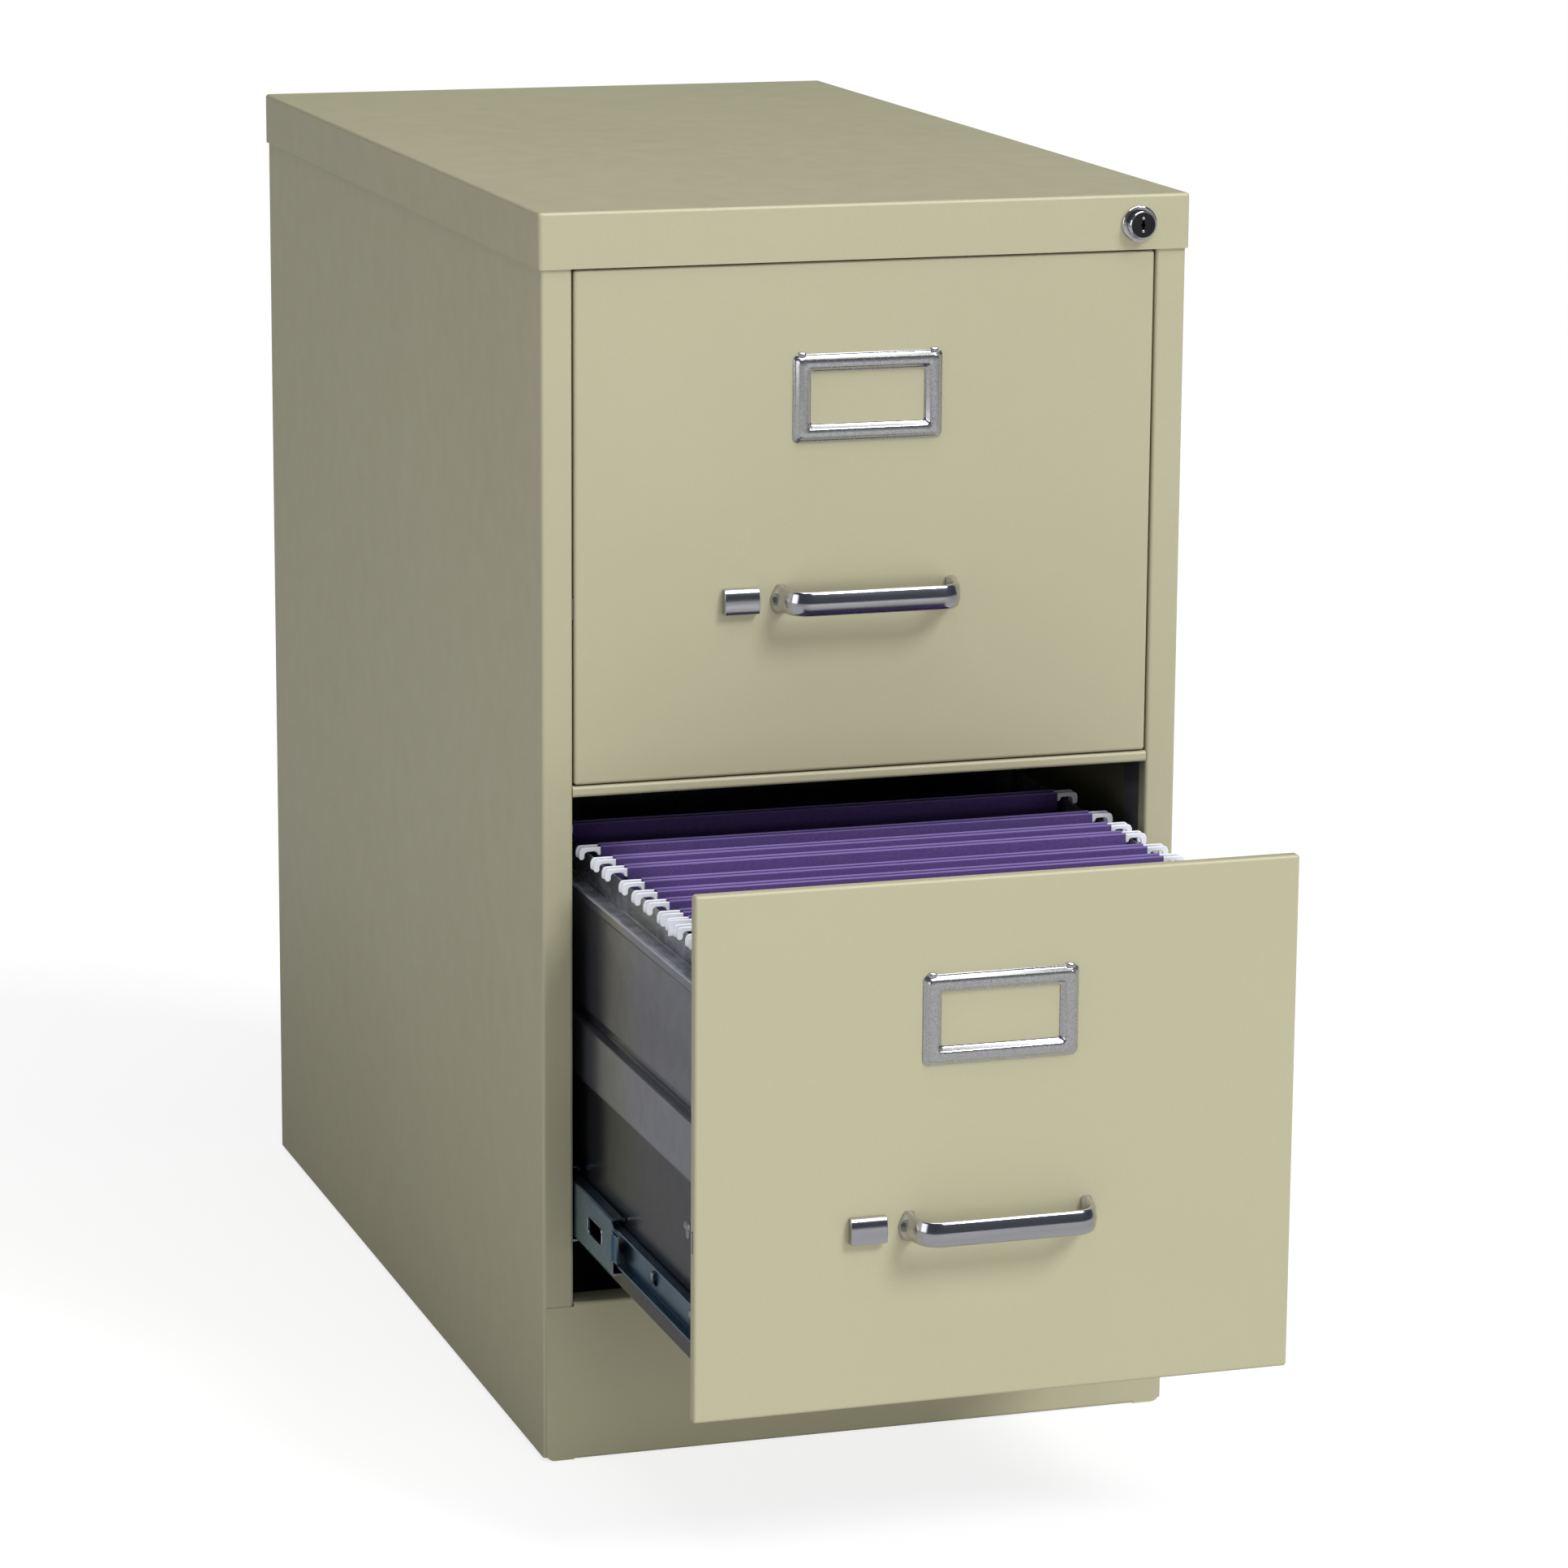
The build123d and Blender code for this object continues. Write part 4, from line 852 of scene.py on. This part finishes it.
def slot_rim(web, middle_y, middle_z):
    """Rounded rim round the middle member's oblong slot."""
    length, height, corner = SLOT_SIZE
    rings = []
    for out, grow in SLOT_RIM:
        outline = rounded_rectangle((length + grow) * MM, (height + grow) * MM, (corner + grow / 2) * MM)
        rings.append([(web - out * MM, middle_y + y, middle_z + z) for y, z in outline])
    return loft(rings, closed=True)


def make_slide_edges(place):
    """Bright cut edges of the middle members: the slot's rim, the front end and the bent stop."""
    low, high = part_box(place + "_middle_slides")
    middle = (low.z + high.z) / 2
    web, inside = low.x, low.x + SLIDE_SHEET
    web_end = low.y + STOP_LENGTH
    near, far = web_end - CUT_PROUD, web_end + CUT_SUNK
    stop_low = (inside - STOP_PROUD, low.y - STOP_END_HALF, middle - STOP_HALF_HEIGHT)
    stop_high = (inside + SLIDE_SHEET, low.y + STOP_END_HALF, middle + STOP_HALF_HEIGHT)
    edges = [slot_rim(web, web_end + SLOT_SETBACK, middle), box_skin(stop_low, stop_high)]
    for side in (-1, 1):
        flange = middle + side * (SLIDE_HALF_HEIGHT - SLIDE_SHEET / 2)
        foot, head = sorted((middle + side * STOP_HALF_HEIGHT, middle + side * WEB_HALF_HEIGHT))
        lip = middle + side * STOP_EDGE_HEIGHT
        edges += [
            box_skin(
                (web + SLIDE_BEND, near, flange - SLIDE_SHEET / 2),
                (web + SLIDE_MOUTH, far, flange + SLIDE_SHEET / 2),
            ),
            box_skin((web, near, foot), (inside, far, head)),
            box_skin(
                (inside - STOP_EDGE_PROUD, low.y, lip - STOP_EDGE_HALF),
                (inside + SLIDE_SHEET, web_end, lip + STOP_EDGE_HALF),
            ),
        ]
    skin = both_sides(merge(*edges))
    add_mesh(place + "_slide_bright_edges", skin, "bearing_steel", place + "_middle_slides", smooth=60)


def make_slide_tabs(place, body):
    """Raised tabs on the drawer members, on both sides."""
    slide_low, slide_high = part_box(place + "_middle_slides")
    middle = (slide_low.z + slide_high.z) / 2
    web = SIDE_WALL - SLIDE_SHEET
    tabs = []
    for setback in TAB_SETBACKS:
        tab_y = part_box(place + "_drawer_slides")[0].y + setback
        rings = []
        for up, out in TAB_PROFILE:
            ring = [(web - out * MM, tab_y + y * MM, middle + up * MM) for y in TAB_ACROSS]
            ring.append((web + TAB_SUNK, tab_y, middle + up * MM))
            rings.append(ring)
        tabs.append(loft(rings))
    add_mesh(place + "_slide_tabs", both_sides(merge(*tabs)), "bearing_steel", body, smooth=30)


for place in PLACES:
    make_side_lances(place, place + "_drawer")
    make_side_edges(place, place + "_drawer")
    make_slide_edges(place)
    make_slide_tabs(place, place + "_drawer")

# Floor: bounced light meets it pale, mirrors see it grey, and the camera sees it glow round the cabinet
FLOOR_HALF = 30.0
FLOOR_DROP = 0.5 * MM
FLOOR_GLOW = 0.8


def footprint_share(tree, low, high):
    """Distance from a rectangle's middle, as a share that is 1 along its edges."""
    footprint = tree.nodes.new("ShaderNodeMapping")
    footprint.vector_type = "TEXTURE"
    footprint.inputs["Location"].default_value = ((low + high) / 2).to_2d().to_3d()
    half = (high - low) / 2
    footprint.inputs["Scale"].default_value = (abs(half.x), half.y, 1)
    tree.links.new(object_coordinates(tree), footprint.inputs["Vector"])
    distance = tree.nodes.new("ShaderNodeVectorMath")
    distance.operation = "ABSOLUTE"
    tree.links.new(footprint.outputs["Vector"], distance.inputs[0])
    sides = axes(tree, distance.outputs["Vector"])
    return calculate(tree, "MAXIMUM", sides["X"], sides["Y"])


def floor_finish():
    """Matte floor that is not lit up where the cabinet stands on it."""
    material, tree, shader = new_material("floor", (0.7, 0.7, 0.7), metallic=0.0, roughness=0.9)
    clouds = blotches(tree, scale=1.5, detail=2.0)
    shade = mix_colours(tree, clouds, (0.77, 0.77, 0.77), (0.75, 0.75, 0.75))
    from_camera = ray_kind(tree, "Is Camera Ray")
    pale = mix_colours(tree, from_camera, shade, (0.26, 0.26, 0.26))
    seen = mix_colours(tree, ray_kind(tree, "Is Glossy Ray"), pale, (0.42, 0.42, 0.42))
    feed(tree, shader.inputs["Base Color"], seen)
    shader.inputs["Emission Color"].default_value = (1, 1, 1, 1)
    share = footprint_share(tree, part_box("kick_plate")[0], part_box("back_panel")[1])
    glow = remap(tree, share, 0.97, 0.99, 0.0, FLOOR_GLOW)
    feed(tree, shader.inputs["Emission Strength"], calculate(tree, "MULTIPLY", from_camera, glow))
    return material


floor_mesh = bpy.data.meshes.new("floor")
floor_corners = [(x * FLOOR_HALF, y * FLOOR_HALF, 0) for x, y in ((-1, -1), (1, -1), (1, 1), (-1, 1))]
floor_mesh.from_pydata(floor_corners, [], [(0, 1, 2, 3)])
floor_mesh.materials.append(floor_finish())
floor = bpy.data.objects.new("floor", floor_mesh)
bpy.context.scene.collection.objects.link(floor)
floor.location.z = -FLOOR_DROP

# Camera: on the photograph's line of sight, with a long lens
YAW, PITCH, ROLL = math.radians(17.94), math.radians(12.62), math.radians(0.39)
FOCAL_PIXELS, PHOTO_PIXELS, SENSOR = 6975.0, 1932.0, 36.0
CAMERA_PLACE = (-1.015, -3.19625, 1.094)


def make_camera():
    """Camera turned by its yaw, then down by its pitch, then by its roll."""
    data = bpy.data.cameras.new("camera")
    data.sensor_width = SENSOR
    data.lens = SENSOR * FOCAL_PIXELS / PHOTO_PIXELS
    data.clip_start, data.clip_end = 0.1, 50.0
    camera = bpy.data.objects.new("camera", data)
    bpy.context.scene.collection.objects.link(camera)
    level = Vector((math.sin(YAW), math.cos(YAW), 0))
    right = Vector((math.cos(YAW), -math.sin(YAW), 0))
    up = Vector((0, 0, 1))
    ahead = math.cos(PITCH) * level - math.sin(PITCH) * up
    tilted_up = math.sin(PITCH) * level + math.cos(PITCH) * up
    camera_right = math.cos(ROLL) * right + math.sin(ROLL) * tilted_up
    camera_up = -math.sin(ROLL) * right + math.cos(ROLL) * tilted_up
    turn = Matrix((camera_right, camera_up, -ahead)).transposed().to_4x4()
    camera.matrix_world = Matrix.Translation(CAMERA_PLACE) @ turn
    bpy.context.scene.camera = camera


make_camera()


# Lights: a broad sun from the front right, and soft boxes above, in front and on the left
def add_lamp(data, aim):
    """Lamp that shines along a direction."""
    lamp = bpy.data.objects.new(data.name, data)
    bpy.context.scene.collection.objects.link(lamp)
    lamp.rotation_mode = "QUATERNION"
    lamp.rotation_quaternion = Vector(aim).to_track_quat("-Z", "Y")
    return lamp


def sun(direction, strength, spread):
    """Sun whose disc is spread degrees wide."""
    data = bpy.data.lights.new("sun", "SUN")
    data.energy = strength
    data.angle = math.radians(spread)
    add_lamp(data, direction)


def soft_box(name, place, target, size, power, in_mirrors=True):
    """Rectangular lamp that faces its target."""
    data = bpy.data.lights.new(name, "AREA")
    data.shape = "RECTANGLE"
    data.size, data.size_y = size
    data.energy = power
    lamp = add_lamp(data, Vector(target) - Vector(place))
    lamp.location = place
    lamp.visible_glossy = in_mirrors


sun(direction=(-0.42, 0.6, -0.68), strength=2.1, spread=20)
soft_box("top", place=(0.0, -0.6, 2.6), target=(0, -0.2, 0.4), size=(1.7, 1.5), power=25)
soft_box(
    "front", place=(0.6, -3.3, 0.5), target=(0, 0.0, 0.3), size=(2.2, 1.0), power=31, in_mirrors=False
)
soft_box("left", place=(-3.0, -0.9, 1.2), target=(0, 0.1, 0.4), size=(1.6, 1.6), power=13.5)


# Sky: white to the camera, grey as a fill light, and in mirrors dim with a bright patch overhead
def make_sky():
    """Plain world around the cabinet."""
    world = bpy.data.worlds.new("world")
    bpy.context.scene.world = world
    world.use_nodes = True
    tree = world.node_tree
    background = tree.nodes["Background"]
    direction = tree.nodes.new("ShaderNodeTexCoord").outputs["Generated"]
    overhead = remap(tree, axes(tree, direction)["Z"], 0.95, 0.99)
    mirrored = mix_colours(tree, overhead, (0.055, 0.06, 0.078), (0.9, 0.9, 0.9))
    lit = mix_colours(tree, ray_kind(tree, "Is Camera Ray"), (0.3, 0.3, 0.3), WHITE)
    seen = mix_colours(tree, ray_kind(tree, "Is Glossy Ray"), lit, mirrored)
    feed(tree, background.inputs["Color"], seen)
    background.inputs["Strength"].default_value = 1.0


make_sky()
bpy.context.scene.view_settings.view_transform = "Standard"
